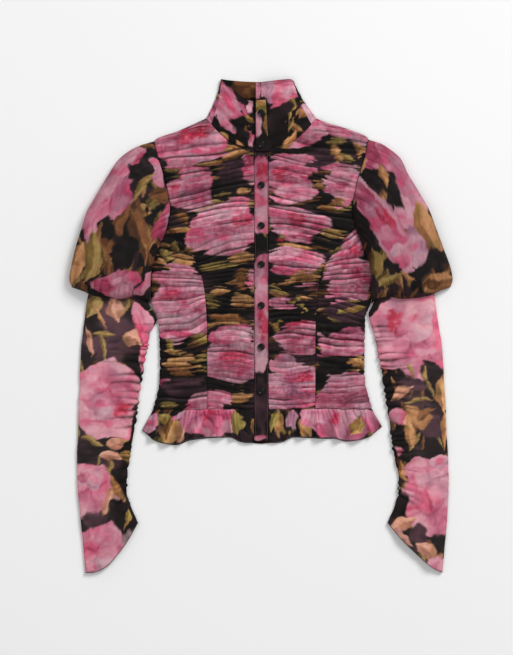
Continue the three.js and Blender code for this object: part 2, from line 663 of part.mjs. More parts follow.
function longSleeve(sign, cuffBow) {
  const samples = foldRows(SLEEVE, 2, 2);
  const middle = samples.map(({ row }) => {
    const [outX, outY, inX, inY, bow, lift] = sleeveRow(row);
    return flatRing(SLEEVE_STEPS, (angle, w) => {
      const x = THREE.MathUtils.lerp(outX, inX, w);
      const y = THREE.MathUtils.lerp(outY, inY, w) - cuffBow * bow * 4 * w * (1 - w);
      return new THREE.Vector3(sign * x, y, lift + ringHeight(angle, SLEEVE_EDGE, SLEEVE_HEIGHT, 0.8));
    });
  });
  const wave = samples.map(({ row, fold }) => {
    const i = Math.min(Math.floor(row), SLEEVE.length - 2);
    const ruched = SLEEVE[i].folds > 0 ? 1 : 0;
    const strength = 0.75 + 0.25 * Math.sin(fold * 2.1);
    return flatRing(SLEEVE_STEPS, (angle, w) => {
      const above = smoothstep(-0.3, 0.15, Math.sin(angle));
      const crest = SLEEVE_FOLD_MIDDLE - Math.cos(2 * Math.PI * fold);
      return SLEEVE_FOLD * ruched * strength * above * smoothstep(0.3, 1, w) * crest;
    });
  });
  return layOut(tubeWall(middle, wave));
}

SIDES.forEach(({ word, sign, cuffBow }) => {
  addPiece(`sleeve_${word}`, longSleeve(sign, cuffBow), ROSE_CHIFFON);
});

// The buttons

function buttonAt(number, y, z, tilt) {
  const profile = BUTTON_PROFILE.map(([share, height]) => new THREE.Vector2(share * BUTTON_RADIUS, height));
  const geometry = new THREE.LatheGeometry(profile, 12);
  const mesh = addPiece(`button_${number}`, geometry, BLACK_BUTTON);
  mesh.rotation.x = Math.PI / 2 + tilt;
  mesh.position.set(0, y, z);
}

// The station, share up the collar and slope where the collar's button band passes a height on the centre line.
function collarBandAt(y) {
  const station = lastStation - 0.43;
  const [neck, , , topY] = collarRow(station);
  const [, footY] = neckSeam(neck);
  const up = (y - footY) / (topY - footY);
  const here = collarPoint(station, up);
  const above = collarPoint(station, up + 0.02);
  return { z: here.z, slope: Math.atan2(above.z - here.z, above.y - here.y) };
}

COLLAR_BUTTON_Y.forEach((y, i) => {
  const { z, slope } = collarBandAt(y);
  buttonAt(i + 1, y, z + bandInside + BAND_ON_COLLAR + 2 * SEAM_GAP, slope);
});
PLACKET_BUTTON_Y.forEach((y, i) => {
  const number = COLLAR_BUTTON_Y.length + i + 1;
  buttonAt(number, y, PLACKET_Z + PLACKET_WALL + BAND_PUFF + SEAM_GAP, 0);
});

// The origin is under the middle of the whole garment, on the surface that it lies on.
const bounds = new THREE.Box3().setFromObject(blouse);
const middle = bounds.getCenter(new THREE.Vector3());
blouse.position.set(-middle.x, -middle.y, -bounds.min.z);

export default blouse;
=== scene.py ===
"""The look of a chiffon blouse that is laid flat: finely ruched panels, bubble over-sleeves, long sleeves,
a funnel collar, a flounce, stitching, black buttons and a large floral print painted point by point."""

import json
import math
from collections import namedtuple

import bpy
import numpy as np
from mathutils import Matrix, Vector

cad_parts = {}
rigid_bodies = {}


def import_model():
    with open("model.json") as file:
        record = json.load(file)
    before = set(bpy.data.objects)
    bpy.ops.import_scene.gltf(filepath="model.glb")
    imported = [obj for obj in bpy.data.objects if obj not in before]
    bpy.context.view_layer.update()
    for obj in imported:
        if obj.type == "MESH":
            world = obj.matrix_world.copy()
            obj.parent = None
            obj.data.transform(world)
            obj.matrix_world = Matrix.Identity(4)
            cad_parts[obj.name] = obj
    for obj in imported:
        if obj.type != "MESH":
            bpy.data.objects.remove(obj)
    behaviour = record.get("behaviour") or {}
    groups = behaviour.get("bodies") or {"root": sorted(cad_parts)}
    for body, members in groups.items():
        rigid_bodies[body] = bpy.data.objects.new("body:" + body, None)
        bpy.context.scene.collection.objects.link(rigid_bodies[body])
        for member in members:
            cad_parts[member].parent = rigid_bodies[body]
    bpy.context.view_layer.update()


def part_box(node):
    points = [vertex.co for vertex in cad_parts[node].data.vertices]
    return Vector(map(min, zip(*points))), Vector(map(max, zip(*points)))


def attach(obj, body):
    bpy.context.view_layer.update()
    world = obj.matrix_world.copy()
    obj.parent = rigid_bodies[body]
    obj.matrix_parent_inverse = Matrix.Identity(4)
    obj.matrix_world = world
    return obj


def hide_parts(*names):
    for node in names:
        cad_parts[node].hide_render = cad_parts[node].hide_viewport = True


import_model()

# Sizes in millimetres, as in the solids

MM = 0.001
CLOTH = 1.1
SEAM_GAP = 0.3
SEAM_SHOWS = 0.12 # what shows of a seam between two pieces of cloth
SOLID_WALL = 1.4
FRONT_LIFT = SOLID_WALL + SEAM_GAP
WAIST_SEAM_Y = -141
NECK_Y = 297.5
FRONT_DOME = 2.2
DOME_HALF = 188
FOLD_HEIGHT = 3.6
FOLD_AT_SEAM = 0.25
PLACKET_HALF = 12.1
PLACKET_Z = 3.3
PLACKET_WALL = 1.8
PLACKET_FOOT_Y = -196
STAND_Z = 1.7
STAND_WALL = 1.3
BUTTON_RADIUS = 6.0
COLLAR_BUTTON_Y = [362, 309]
PLACKET_BUTTON_Y = [240, 171, 105, 35, -35.5, -110.5]
SIDES = (("left", -1), ("right", 1)) # as the front is seen

# The photo's frame: millimetres for one of its pixels, the pixel that the tables count from, and its middle
PIXEL = 1.7
PHOTO_X0 = 261.3
PHOTO_Y0 = 326
PHOTO_WIDTH = 513
PHOTO_HEIGHT = 655


def table(header, *rows):
    """Columns of numbers by name."""
    names = header.split()
    return {name: np.array([row[i] for row in rows], float) for i, name in enumerate(names)}


CENTRE_FRONT = table(
    "out_x out_y in_x in_y folds",
    (92, WAIST_SEAM_Y, 12.3, WAIST_SEAM_Y, 4),
    (92, -83, 12.3, -92, 4),
    (92, -24, 12.3, -32, 5),
    (95, 44, 12.3, 44, 3),
    (100, 78, 12.3, 87, 3),
    (112, 109, 12.3, 124, 2),
    (133, 141, 12.3, 161, 2),
    (160, 170, 12.3, 194, 2),
    (155, 199, 12.3, 224, 2),
    (160, 231, 12.3, 260, 3),
    (170, 269, 12.3, NECK_Y, 1),
    (177, 291, 51, 312, 1),
    (182, 314.5, 76, 333, 1),
    (139, 333, 87, 345, 1),
    (101, 350, 94, 353, 0),
)
SIDE_FRONT = table(
    "seam out_x out_y folds",
    (0, 184.5, WAIST_SEAM_Y, 3),
    (0.85, 173.4, -95, 2),
    (1.54, 172.6, -61, 3),
    (2.25, 173.4, -24, 2),
    (2.78, 177, 14, 2),
    (3.25, 187.9, 44, 2),
    (3.9, 188, 76.5, 2),
    (4.6, 185.3, 105.4, 2),
    (5.37, 173.4, 134.3, 1),
    (6.4, 163.6, 158, 1),
    (6.9, 161, 167, 0),
)
ARMHOLE = table(
    "x y",
    (182, 314.5),
    (177, 291),
    (170, 269),
    (160, 231),
    (155, 199),
    (160, 170),
    (173.4, 134.3),
    (185.3, 105.4),
)
BACK_NECK = table("x y", (0, 335), (31, 336), (62, 340), (83, 346), (94, 352.5))
FLOUNCE_HEM = table(
    "x y crest",
    (12.6, -199, 1),
    (36, -196, 4),
    (56, -188, 8),
    (86, -189, 8),
    (122, -193, 9),
    (147, -201, 8),
    (177, -196, 8),
    (203, -177, 4),
)
PUFF_OUTER = table(
    "x y",
    (182.8, 315),
    (211, 306),
    (241, 286),
    (262, 255),
    (280.5, 224),
    (297, 194),
    (307, 163),
    (316, 133),
    (323, 102),
    (326.5, 80),
    (323, 66),
)
PUFF_INNER = table("x y", (185.6, 105.4), (188.3, 76), (188.6, 39))
PUFF_BOTTOM = table(
    "x y",
    (323, 66),
    (304, 59.5),
    (284, 51),
    (258, 47),
    (238, 46),
    (217.6, 50),
    (201, 47.6),
    (188.6, 39),
)
SLEEVE = table(
    "out_x out_y in_x in_y bow lift folds",
    (284, 96, 204, 74, 0, 1.9, 0),
    (296.6, 44, 190, 35, 0, 1.9, 0),
    (299, 26, 183, 20, 0, 0.7, 0),
    (301, 8, 184.5, 6, 0, 0, 1),
    (303.5, -12, 190.5, -14, 0, 0, 1),
    (306, -31, 194, -34, 0, 0, 2),
    (307.7, -61, 200.6, -65, 0, 0, 2),
    (309.4, -102, 207, -105, 0, 0, 2),
    (311, -143, 212, -143, 0, 0, 2),
    (312, -184, 219, -187, 0, 0, 2),
    (313.7, -224, 224, -224, 0, 0, 2),
    (312.8, -265, 229.5, -255, 3, 0, 1),
    (310, -304, 229.5, -282, 8, 0, 1),
    (306, -347, 222.5, -306, 14, 0, 0),
    (302.6, -384, 214, -326, 19, 0, 0),
    (299.2, -420, 210.5, -335, 24, 0, 0),
)
COLLAR = table(
    "neck foot_z top_x top_y top_z",
    (-9, 2.9, 4, 382, 10),
    (-8, 3.1, -20, 383.5, 11),
    (-7, 4, -44, 398, 12),
    (-6, 4.2, -62, 415, 9.5),
    (-5, 3.6, -68, 419.5, 5),
    (-4, 2.3, -68, 420.5, 2.6),
    (-3, 1.1, -58, 419, 0.8),
    (-2, 0.8, -30, 416.5, 0.8),
    (0, 0.8, 0, 415.5, 0.8),
    (2, 0.8, 26, 416.5, 0.8),
    (3, 1.1, 46, 419, 0.8),
    (4, 2.3, 54.5, 417.4, 2.6),
    (5, 4, 54.2, 417.2, 5.4),
    (6, 4.6, 48, 420, 9),
    (7, 5, 29, 418, 13),
    (8, 5.6, 6, 415, 15),
    (9, 5.9, -9.4, 413, 15),
)
COLLAR_LAP = 21.5
COLLAR_WAIST = 3.5
COLLAR_WALL = 1.6
COLLAR_BAND_TOP = 0.74
BAND_ON_COLLAR = 1.2
LAY_RIGHT = table(
    "y sleeve_in body_out up",
    (356, 0, 0, 0),
    (333, 0, 0, 5.5),
    (314, 1, 0, 3),
    (290, 4, 0, 0.5),
    (255, 9.5, 0, 0),
    (190, 9.5, 0, 0),
    (132, 6, 0, 0),
    (95, 1, 0, 0),
    (44, 0, -1, 0),
    (-24, 1.5, 2.6, 0),
    (-92, 1, 3.2, 0),
    (-141, 1.4, 4.6, 0),
    (-176, -2, 1.5, 6),
    (-201, -3, 1, 6),
    (-270, -5, 1, 2),
    (-340, -8, 1, 0),
    (-425, -8, 1, 0),
)

# Curves through tables


def along(column, row):
    """A column of numbers read at real row numbers, by a cubic that never overshoots its rows."""
    step = np.diff(column)
    product = step[:-1] * step[1:]
    total = step[:-1] + step[1:]
    inner = np.where(product > 0, 2 * product / np.where(total == 0, 1, total), 0)
    slope = np.concatenate([step[:1], inner, step[-1:]])
    i = np.clip(np.floor(row), 0, len(column) - 2).astype(int)
    f = row - i
    here = column[i] * (1 + f * f * (2 * f - 3)) + slope[i] * f * (1 - f) ** 2
    there = column[i + 1] * f * f * (3 - 2 * f) + slope[i + 1] * f * f * (f - 1)
    return here + there


def read(rows, row, *names):
    return [along(rows[name], np.asarray(row, float)) for name in names]


def read_share(rows, share, *names):
    """The same, at shares of the whole table from 0 to 1."""
    return read(rows, np.asarray(share, float) * (len(rows[names[0]]) - 1), *names)


def look_up(rows, key, name, value):
    """A column read where the key column has a given value."""
    keys = rows[key]
    numbers = np.arange(len(keys), dtype=float)
    if keys[-1] < keys[0]:
        keys, numbers = keys[::-1], numbers[::-1]
    return along(rows[name], np.interp(value, keys, numbers))


def smoothstep(low, high, value):
    t = np.clip((value - low) / (high - low), 0, 1)
    return t * t * (3 - 2 * t)


def mix(a, b, t):
    return a + (b - a) * t


def scatter(*numbers):
    """A number from 0 to 1 that looks random but is always the same for the same whole numbers."""
    total = sum(np.asarray(n, float) * k for n, k in zip(numbers, (12.9898, 78.233, 37.719)))
    value = np.sin(total) * 43758.5453
    return value - np.floor(value)


def swing(*numbers):
    """The same from -1 to 1."""
    return 2 * scatter(*numbers) - 1


def bell(value, width):
    """1 at zero, fading out over about one width to each side."""
    return np.exp(-((value / width) ** 2))


def noise(x, y, seed=0):
    """Smooth noise from -1 to 1 with features one unit across."""
    x0, y0 = np.floor(x), np.floor(y)
    fx, fy = smoothstep(0, 1, x - x0), smoothstep(0, 1, y - y0)
    near = mix(scatter(x0, y0, seed), scatter(x0 + 1, y0, seed), fx)
    far = mix(scatter(x0, y0 + 1, seed), scatter(x0 + 1, y0 + 1, seed), fx)
    return 2 * mix(near, far, fy) - 1


def rough_noise(x, y, seed=0):
    """Noise with finer noise on it."""
    broad, middle = noise(x, y, seed), noise(2.1 * x, 2.1 * y, seed + 5)
    return 0.55 * broad + 0.3 * middle + 0.15 * noise(4.3 * x, 4.3 * y, seed + 9)


# The print. Motifs are placed in the photo's pixels, on the cut piece that they are printed on.

PAINTS = {
    "rose": ((216, 158, 176), (184, 106, 132), (138, 60, 88)),
    "pale": ((214, 178, 188), (196, 138, 156), (164, 96, 118)),
    "deep": ((196, 98, 126), (164, 64, 94), (116, 38, 64)),
    "hot": ((218, 112, 144), (198, 78, 112), (150, 44, 76)),
    "magenta": ((190, 92, 126), (160, 66, 98), (118, 38, 66)),
    "lilac": ((192, 164, 178), (164, 124, 144), (124, 84, 104)),
    "crimson": ((200, 74, 100), (178, 42, 68), (130, 28, 50)),
    "tan": ((206, 166, 114), (164, 122, 72), (104, 72, 42)),
    "brown": ((140, 98, 58), (102, 68, 38), (56, 38, 24)),
    "olive": ((172, 156, 90), (130, 114, 56), (72, 62, 30)),
    "peach": ((214, 174, 150), (180, 132, 106), (124, 86, 68)),
    "dark": ((36, 31, 30), (20, 17, 17), (9, 8, 8)),
    "smoke": ((150, 138, 142), (120, 108, 112), (84, 74, 78)),
    "plum": ((84, 60, 68), (56, 39, 46), (30, 22, 27)),
}

# A word alone names the piece that the next rows are on. Each row: kind, place, half length, half width,
# turn in degrees and paint.
MOTIF_ROWS = """
puff_left
petal 114 183 54 20 127 rose
petal 118 171 46 13 128 pale
petal 121 200 22 14 100 magenta
petal 92 229 17 9 100 rose
patch 139 175 12 11 20 dark
petal 157 172 15 7 78 rose
leaf 149 149 11 4 5 brown
leaf 143 190 21 5 125 olive
leaf 159 191 11 9 150 brown
leaf 148 211 8 8 30 tan
patch 149 212 4 5 0 dark
leaf 116 238 38 7 117 brown
leaf 139 238 30 13 76 brown
patch 110 231 9 12 10 dark
patch 124 250 11 18 15 dark
leaf 99 249 26 8 100 brown
leaf 89 256 28 11 97 olive
leaf 79 264 26 8 102 tan
leaf 104 262 22 6 84 brown
petal 164 220 26 7 107 deep
bloom 118 284 24 16 -3 deep
petal 145 284 15 6 122 rose
front_centre_left
patch 235 172 24 14 5 plum
leaf 212 162 18 4 -12 tan
leaf 231 155 18 10 -18 brown
leaf 226 151 12 4 -30 tan
bloom 189 143 43 23 -10 rose
petal 200 128 27 9 -22 deep
heart 191 135 21 7 -16 crimson
bloom 189 190 26 23 5 rose
heart 175 187 8 5 8 crimson
leaf 208 209 15 4 -14 olive
leaf 214 204 9 3 10 olive
leaf 184 229 13 4 6 tan
leaf 182 219 10 5 30 brown
bloom 224 229 37 27 -16 rose
petal 222 214 30 9 -18 pale
heart 242 222 11 7 -12 crimson
petal 250 168 15 10 70 deep
leaf 244 188 9 4 -10 tan
patch 184 261 12 8 15 tan
leaf 218 265 24 4 -5 olive
leaf 243 259 15 6 -8 tan
patch 241 280 8 10 0 brown
petal 251 279 10 6 90 rose
leaf 220 291 12 5 0 tan
leaf 244 303 16 6 0 tan
patch 231 318 23 6 2 brown
leaf 226 323 18 3 6 tan
bloom 233 355 31 31 0 rose
petal 235 333 22 7 4 pale
heart 237 356 20 9 4 crimson
patch 226 390 20 8 0 dark
leaf 240 395 16 6 -8 tan
bloom 210 414 27 24 0 rose
front_side_left
leaf 167 251 12 8 100 olive
leaf 163 262 8 5 60 tan
patch 176 246 6 8 0 dark
patch 184 261 12 8 15 tan
bloom 179 306 34 40 8 rose
petal 176 277 24 10 5 pale
heart 173 294 14 7 6 crimson
petal 180 333 19 5 12 deep
leaf 201 340 14 5 12 olive
leaf 172 347 10 4 70 olive
leaf 184 366 18 10 8 tan
leaf 176 372 10 4 20 brown
petal 166 382 8 6 0 deep
patch 188 388 26 11 0 plum
leaf 203 353 9 4 20 brown
bloom 210 414 27 24 0 rose
flounce_front_left
petal 152 423 13 7 120 rose
leaf 163 421 8 5 70 olive
patch 159 432 6 6 0 plum
patch 172 430 14 14 0 tan
leaf 168 430 13 4 95 brown
leaf 180 433 13 4 100 peach
petal 184 415 17 5 -16 lilac
bloom 210 414 27 26 0 rose
heart 209 415 7 10 10 crimson
petal 208 430 12 7 70 pale
leaf 239 424 14 8 80 olive
leaf 252 428 11 6 80 tan
front_centre_right
patch 322 160 30 14 5 plum
petal 309 132 27 13 -32 rose
petal 329 124 25 9 12 rose
petal 353 133 18 9 24 rose
leaf 287 139 12 5 -52 tan
leaf 324 173 15 3 0 brown
leaf 337 153 12 6 84 tan
leaf 344 158 9 4 30 olive
petal 356 131 12 6 30 deep
petal 342 131 21 8 14 rose
leaf 360 145 11 4 40 tan
leaf 358 150 12 3 115 tan
bloom 288 177 27 25 8 rose
heart 279 171 10 6 8 crimson
bloom 345 184 24 21 -20 rose
leaf 333 207 10 7 0 brown
bloom 296 220 34 15 12 rose
heart 297 219 9 7 10 crimson
petal 302 237 16 5 4 deep
heart 284 238 4 4 0 crimson
leaf 299 246 26 5 3 tan
leaf 332 235 14 5 14 tan
bloom 294 262 31 14 3 rose
leaf 306 279 19 6 -4 tan
petal 311 286 10 4 0 deep
leaf 280 291 13 3 8 olive
petal 280 302 14 7 0 rose
leaf 299 303 10 4 80 olive
leaf 307 297 9 3 20 tan
leaf 275 326 8 5 80 olive
bloom 301 337 24 18 -8 rose
heart 297 324 12 4 -8 crimson
patch 296 356 18 4 12 plum
bloom 291 384 28 30 0 rose
heart 304 376 10 7 0 crimson
petal 288 366 20 6 4 pale
front_side_right
bloom 348 280 25 30 18 rose
petal 352 252 30 14 110 rose
petal 345 257 28 6 112 rose
petal 357 283 22 7 75 magenta
heart 356 251 12 5 105 crimson
petal 362 280 15 9 80 deep
patch 348 313 22 16 0 plum
leaf 354 309 16 5 -30 olive
petal 325 345 13 8 80 rose
bloom 349 343 22 15 -14 rose
patch 334 367 19 12 0 dark
leaf 359 363 10 7 60 tan
leaf 337 381 9 3 95 olive
leaf 324 394 12 4 0 olive
bloom 347 402 30 30 0 rose
flounce_front_right
patch 280 424 10 12 10 tan
leaf 274 421 13 5 110 olive
petal 293 420 13 5 95 rose
leaf 307 415 10 4 60 olive
leaf 303 429 11 5 60 tan
bloom 338 414 34 32 0 rose
heart 319 428 8 6 60 deep
heart 335 418 5 8 0 crimson
leaf 356 426 13 5 110 tan
petal 370 420 16 10 60 rose
puff_right
bloom 377 155 20 16 20 magenta
petal 403 178 46 19 62 rose
petal 403 212 18 15 70 pale
patch 366 178 6 12 0 dark
patch 390 190 8 21 -24 dark
leaf 381 178 16 5 70 tan
leaf 364 165 10 4 110 tan
petal 415 246 22 13 75 lilac
petal 381 222 56 17 57 pale
petal 376 217 44 13 57 magenta
heart 384 218 20 6 55 crimson
petal 404 262 14 8 50 pale
petal 400 256 14 10 60 pale
patch 364 232 7 20 -25 dark
leaf 427 227 29 11 66 tan
leaf 433 219 26 5 66 brown
patch 435 259 11 12 10 dark
patch 419 284 10 9 0 dark
patch 439 281 17 13 -10 tan
patch 434 283 10 7 -10 brown
leaf 376 264 18 7 80 olive
leaf 391 281 17 5 -28 olive
leaf 408 276 10 4 40 tan
sleeve_left
patch 104 330 30 30 0 plum
patch 90 322 12 16 10 dark
leaf 90 305 15 9 112 olive
leaf 118 310 14 10 80 peach
leaf 104 334 14 3 4 olive
leaf 100 318 17 2.5 62 tan
leaf 88 342 19 4 78 peach
leaf 104 347 16 3 75 olive
patch 116 345 15 10 0 plum
petal 142 323 22 12 72 hot
leaf 132 341 11 9 20 peach
petal 144 350 24 5 98 hot
bloom 104 400 37 43 0 pale
bloom 106 388 33 26 0 rose
petal 101 409 9 12 10 lilac
heart 122 411 12 10 0 crimson
patch 108 448 34 12 0 dark
patch 84 456 10 8 0 dark
leaf 92 442 13 4 25 olive
leaf 116 442 13 6 -12 peach
leaf 110 458 12 6 8 peach
leaf 126 456 10 4 5 olive
bloom 90 489 28 29 0 rose
heart 86 477 9 6 30 deep
petal 92 482 7 10 0 lilac
patch 122 480 8 16 0 dark
leaf 107 502 17 7 110 peach
leaf 118 488 16 5 65 tan
patch 95 522 13 10 0 plum
patch 117 512 9 15 10 dark
leaf 126 519 12 4 100 olive
bloom 98 552 33 28 0 rose
petal 98 565 16 8 -10 lilac
patch 131 538 7 12 20 smoke
sleeve_right
bloom 410 334 43 47 8 rose
petal 418 318 17 28 14 pale
heart 394 321 9 15 0 crimson
patch 432 371 13 9 0 dark
patch 408 384 20 8 0 plum
leaf 410 371 12 3 60 olive
leaf 427 375 10 3 70 olive
leaf 403 393 14 7 -30 peach
leaf 419 400 20 3 -10 olive
leaf 441 396 19 8 85 tan
patch 433 428 14 15 0 plum
patch 417 417 14 10 20 tan
leaf 411 434 17 6 82 tan
leaf 426 414 12 5 -40 brown
leaf 404 419 10 4 60 peach
petal 396 415 10 8 20 deep
patch 398 434 7 10 0 dark
petal 401 452 9 4 40 deep
patch 420 456 20 6 0 dark
leaf 444 430 22 5 88 tan
leaf 403 470 12 4 80 tan
bloom 431 482 31 27 0 rose
petal 440 462 11 9 0 lilac
patch 400 504 11 15 20 dark
bloom 432 512 24 26 0 rose
leaf 403 526 18 7 -25 peach
patch 419 537 9 12 0 plum
patch 438 545 10 13 0 dark
leaf 405 537 14 4 50 lilac
leaf 426 554 14 8 40 peach
petal 437 566 12 10 30 rose
collar_left
petal 217 99 22 10 104 hot
petal 228 104 27 16 52 rose
petal 226 97 20 6 60 hot
petal 224 119 17 9 50 rose
patch 213 121 5 9 -30 dark
patch 240 125 9 13 10 dark
leaf 248 120 7 4 20 olive
leaf 222 136 7 3 50 tan
petal 251 106 9 5 90 pale
petal 259 88 12 6 90 pale
petal 250 138 9 4 100 rose
leaf 240 145 10 3 45 tan
collar_right
petal 274 88 34 13 -4 pale
petal 283 81 18 6 -6 rose
petal 270 90 14 7 80 lilac
petal 281 98 17 6 -44 pale
leaf 293 113 14 2.5 102 olive
leaf 305 112 10 5 -40 tan
leaf 289 127 8 3 120 olive
petal 305 106 6 4 40 rose
leaf 287 139 12 5 -50 tan
collar_inside
leaf 245 90 30 14 10 brown
patch 226 82 8 5 20 dark
leaf 285 100 24 10 30 tan
placket
petal 262 90 14 11 90 pale
patch 263 107 9 8 0 olive
leaf 262 103 9 5 10 tan
petal 258 125 14 5 92 pale
leaf 266 126 14 5 86 tan
leaf 268 121 9 3 80 olive
petal 262 195 42 16 90 rose
heart 263 172 14 6 88 crimson
petal 262 272 19 14 90 rose
petal 263 322 46 16 90 rose
heart 262 324 20 8 90 crimson
petal 260 358 16 9 90 pale
patch 262 404 12 32 0 plum
petal 260 438 8 5 0 rose
back
bloom 190 180 40 32 10 rose
bloom 300 160 36 26 -15 rose
heart 196 184 12 9 0 crimson
bloom 250 240 38 30 0 rose
heart 244 240 12 8 20 crimson
leaf 222 208 26 9 30 tan
leaf 290 206 24 8 -40 olive
bloom 330 250 32 36 0 pale
leaf 188 250 30 9 70 brown
bloom 200 320 40 34 0 rose
heart 206 322 12 10 0 crimson
leaf 252 300 26 8 10 tan
bloom 302 330 36 30 12 rose
heart 308 326 11 9 0 crimson
leaf 346 300 22 8 -60 olive
leaf 250 360 30 8 -20 brown
bloom 250 405 38 26 0 rose
leaf 330 385 26 9 40 tan
bloom 172 415 28 26 0 pale
bloom 350 425 26 22 0 rose
"""
Motif = namedtuple("Motif", "kind x y half_length half_width turn paint")


def read_motifs(text):
    motifs = {}
    for words in map(str.split, text.strip().splitlines()):
        if len(words) == 1:
            here = motifs[words[0]] = []
        else:
            here.append(Motif(words[0], *map(float, words[1:-1]), words[-1]))
    return motifs


MOTIFS = read_motifs(MOTIF_ROWS)


def motif_frame(p, q, motif):
    """Coordinates along and across a motif, in its own half length and half width."""
    angle = math.radians(motif.turn)
    dx, dy = p - motif.x, q - motif.y
    u = (dx * math.cos(angle) + dy * math.sin(angle)) / motif.half_length
    v = (dy * math.cos(angle) - dx * math.sin(angle)) / motif.half_width
    return u, v


def bloom_shape(u, v, seed):
    """Broad overlapping petals, as painted wet. Gives the depth inside the edge, and a shade from 0 to 1."""
    angle = np.arctan2(v, u)
    radius = np.hypot(u, v)
    edge = 1 + 0.09 * np.sin(3 * angle + seed) + 0.06 * np.sin(5 * angle + 2.3 * seed)
    depth = edge - radius + 0.06 * noise(2.2 * u, 2.2 * v, seed)
    shade = 0.42 + 0 * radius
    for ring, (size, count) in enumerate(((1.12, 5), (0.66, 4))):
        turned = angle + 0.5 * noise(1.3 * u, 1.3 * v, seed + ring) + ring * 1.9 + seed
        number = np.floor(turned * count / (2 * math.pi))
        within = turned * count / (2 * math.pi) - number - 0.5
        reach = size * (1 - 1.1 * within**2) * (0.85 + 0.3 * scatter(number % count, ring, seed))
        inside = smoothstep(-0.02, 0.16, reach - radius)
        t = np.clip(radius / reach, 0, 1)
        petal = 0.66 - 0.46 * t + 0.42 * (scatter(number % count, ring + 7, seed) - 0.5)
        petal += 0.34 * smoothstep(0.28, 0.5, np.abs(within))
        shade = mix(shade, petal, inside)
    wash = rough_noise(1.6 * u + 0.6 * noise(2 * u, 2 * v, seed), 1.6 * v, seed + 3)
    strokes = noise(angle * 5, radius * 1.3, seed + 4)
    return depth, shade + 0.26 * wash + 0.12 * strokes


def petal_shape(u, v, seed):
    width = np.sqrt(np.clip(1 - np.abs(u) ** 2.2, 0, 1)) * (0.86 + 0.14 * u)
    depth = np.minimum(width - np.abs(v), 1 - np.abs(u)) + 0.08 * noise(3 * u, 3 * v, seed)
    streaks = noise(1.2 * u, 5 * v, seed)
    shade = 0.42 - 0.25 * u * (1 if seed % 2 else -1) + 0.25 * streaks + 0.22 * smoothstep(0.6, 1, np.abs(v))
    return depth, shade


def leaf_shape(u, v, seed):
    bent = v + 0.35 * (1 - u * u) * (1 if seed % 2 else -1)
    width = np.clip(1 - np.abs(u) ** 1.7, 0, 1) * (1 - 0.25 * u)
    depth = width - np.abs(bent) + 0.06 * noise(4 * u, 2 * v, seed)
    shade = 0.45 + 0.22 * np.sign(bent) * smoothstep(0, 0.2, np.abs(bent)) - 0.3 * bell(bent, 0.09)
    return depth, shade + 0.22 * noise(2.5 * u, 3 * bent, seed)


def patch_shape(u, v, seed):
    radius = (np.abs(u) ** 2.6 + np.abs(v) ** 2.6) ** (1 / 2.6)
    depth = 1 - radius + 0.32 * noise(1.8 * u, 1.8 * v, seed)
    return depth, 0.5 + 0.4 * noise(1.5 * u, 2.5 * v, seed + 1)


# The shape of each kind of motif, and how soft its edge is
MOTIF_KINDS = {
    "bloom": (bloom_shape, 0.05),
    "petal": (petal_shape, 0.1),
    "leaf": (leaf_shape, 0.16),
    "patch": (patch_shape, 0.25),
    "heart": (patch_shape, 0.45),
}


def paint_at(name, shade):
    """A paint at shades from 0, its light, to 1, its deepest."""
    light, middle, deep = (np.array(c, float) for c in PAINTS[name])
    s = np.clip(shade, 0, 1)[..., None]
    return np.where(s < 0.5, mix(light, middle, 2 * s), mix(middle, deep, 2 * s - 1))


SPRAY_CELL = 15.0 # the photo's pixels between small leaves
SPRAY_PAINTS = ("brown", "olive", "tan", "brown", "olive", "dark")
# For each kind of piece: the share of cells with a leaf, and the leaves' lean and its spread in degrees
SPRAYS = {
    "puff": (0.85, 100, 34),
    "sleeve": (0.68, 85, 40),
    "front": (0.52, 0, 22),
    "flounce": (0.62, 80, 40),
    "collar": (0.16, 60, 40),
    "placket": (0.3, 90, 30),
    "back": (0.4, 0, 60),
}


def leaf_sprays(kind, p, q, colour):
    """Small leaves and stalks scattered over the ground, one to a cell, most of them one way."""
    share, lean, spread = SPRAYS[kind]
    column, row = np.floor(p / SPRAY_CELL), np.floor(q / SPRAY_CELL)
    for step in range(9):
        i, j = column + step % 3 - 1, row + step // 3 - 1
        grows = scatter(i, j, 1) < share
        angle = np.radians(lean + spread * swing(i, j, 2))
        dx = p - (i + 0.15 + 0.7 * scatter(i, j, 3)) * SPRAY_CELL
        dy = q - (j + 0.15 + 0.7 * scatter(i, j, 4)) * SPRAY_CELL
        long_way = dx * np.cos(angle) + dy * np.sin(angle)
        u = long_way / (SPRAY_CELL * (0.6 + 0.35 * scatter(i, j, 5)))
        v = (dy * np.cos(angle) - dx * np.sin(angle)) / (SPRAY_CELL * (0.14 + 0.24 * scatter(i, j, 6)))
        depth, shade = leaf_shape(u, v, 2)
        cover = grows * smoothstep(0, 0.3, depth) * (np.abs(u) < 1)
        which = np.floor(scatter(i, j, 7) * len(SPRAY_PAINTS))
        for number, name in enumerate(SPRAY_PAINTS):
            here = (which == number) & (cover > 0)
            if here.any():
                fresh = paint_at(name, shade[here] + 0.1)
                colour[here] = mix(colour[here], fresh, 0.9 * cover[here][:, None])
    return colour


# How bright the red, green and blue of each kind of piece are
TONES = {
    "front": (0.84, 0.775, 0.78),
    "puff": (0.89, 0.8, 0.81),
    "sleeve": (1.06, 0.965, 0.95),
    "flounce": (1.03, 0.99, 0.99),
    "collar": (0.95, 0.85, 0.86),
    "placket": (0.87, 0.83, 0.82),
    "back": (0.88, 0.85, 0.85),
}
RUCHED_SQUEEZE = 0.45 # how far ruching squeezes the brush marks together
LEAST_BLUR = 1.35 # the softest edge of a motif, in the photo's pixels


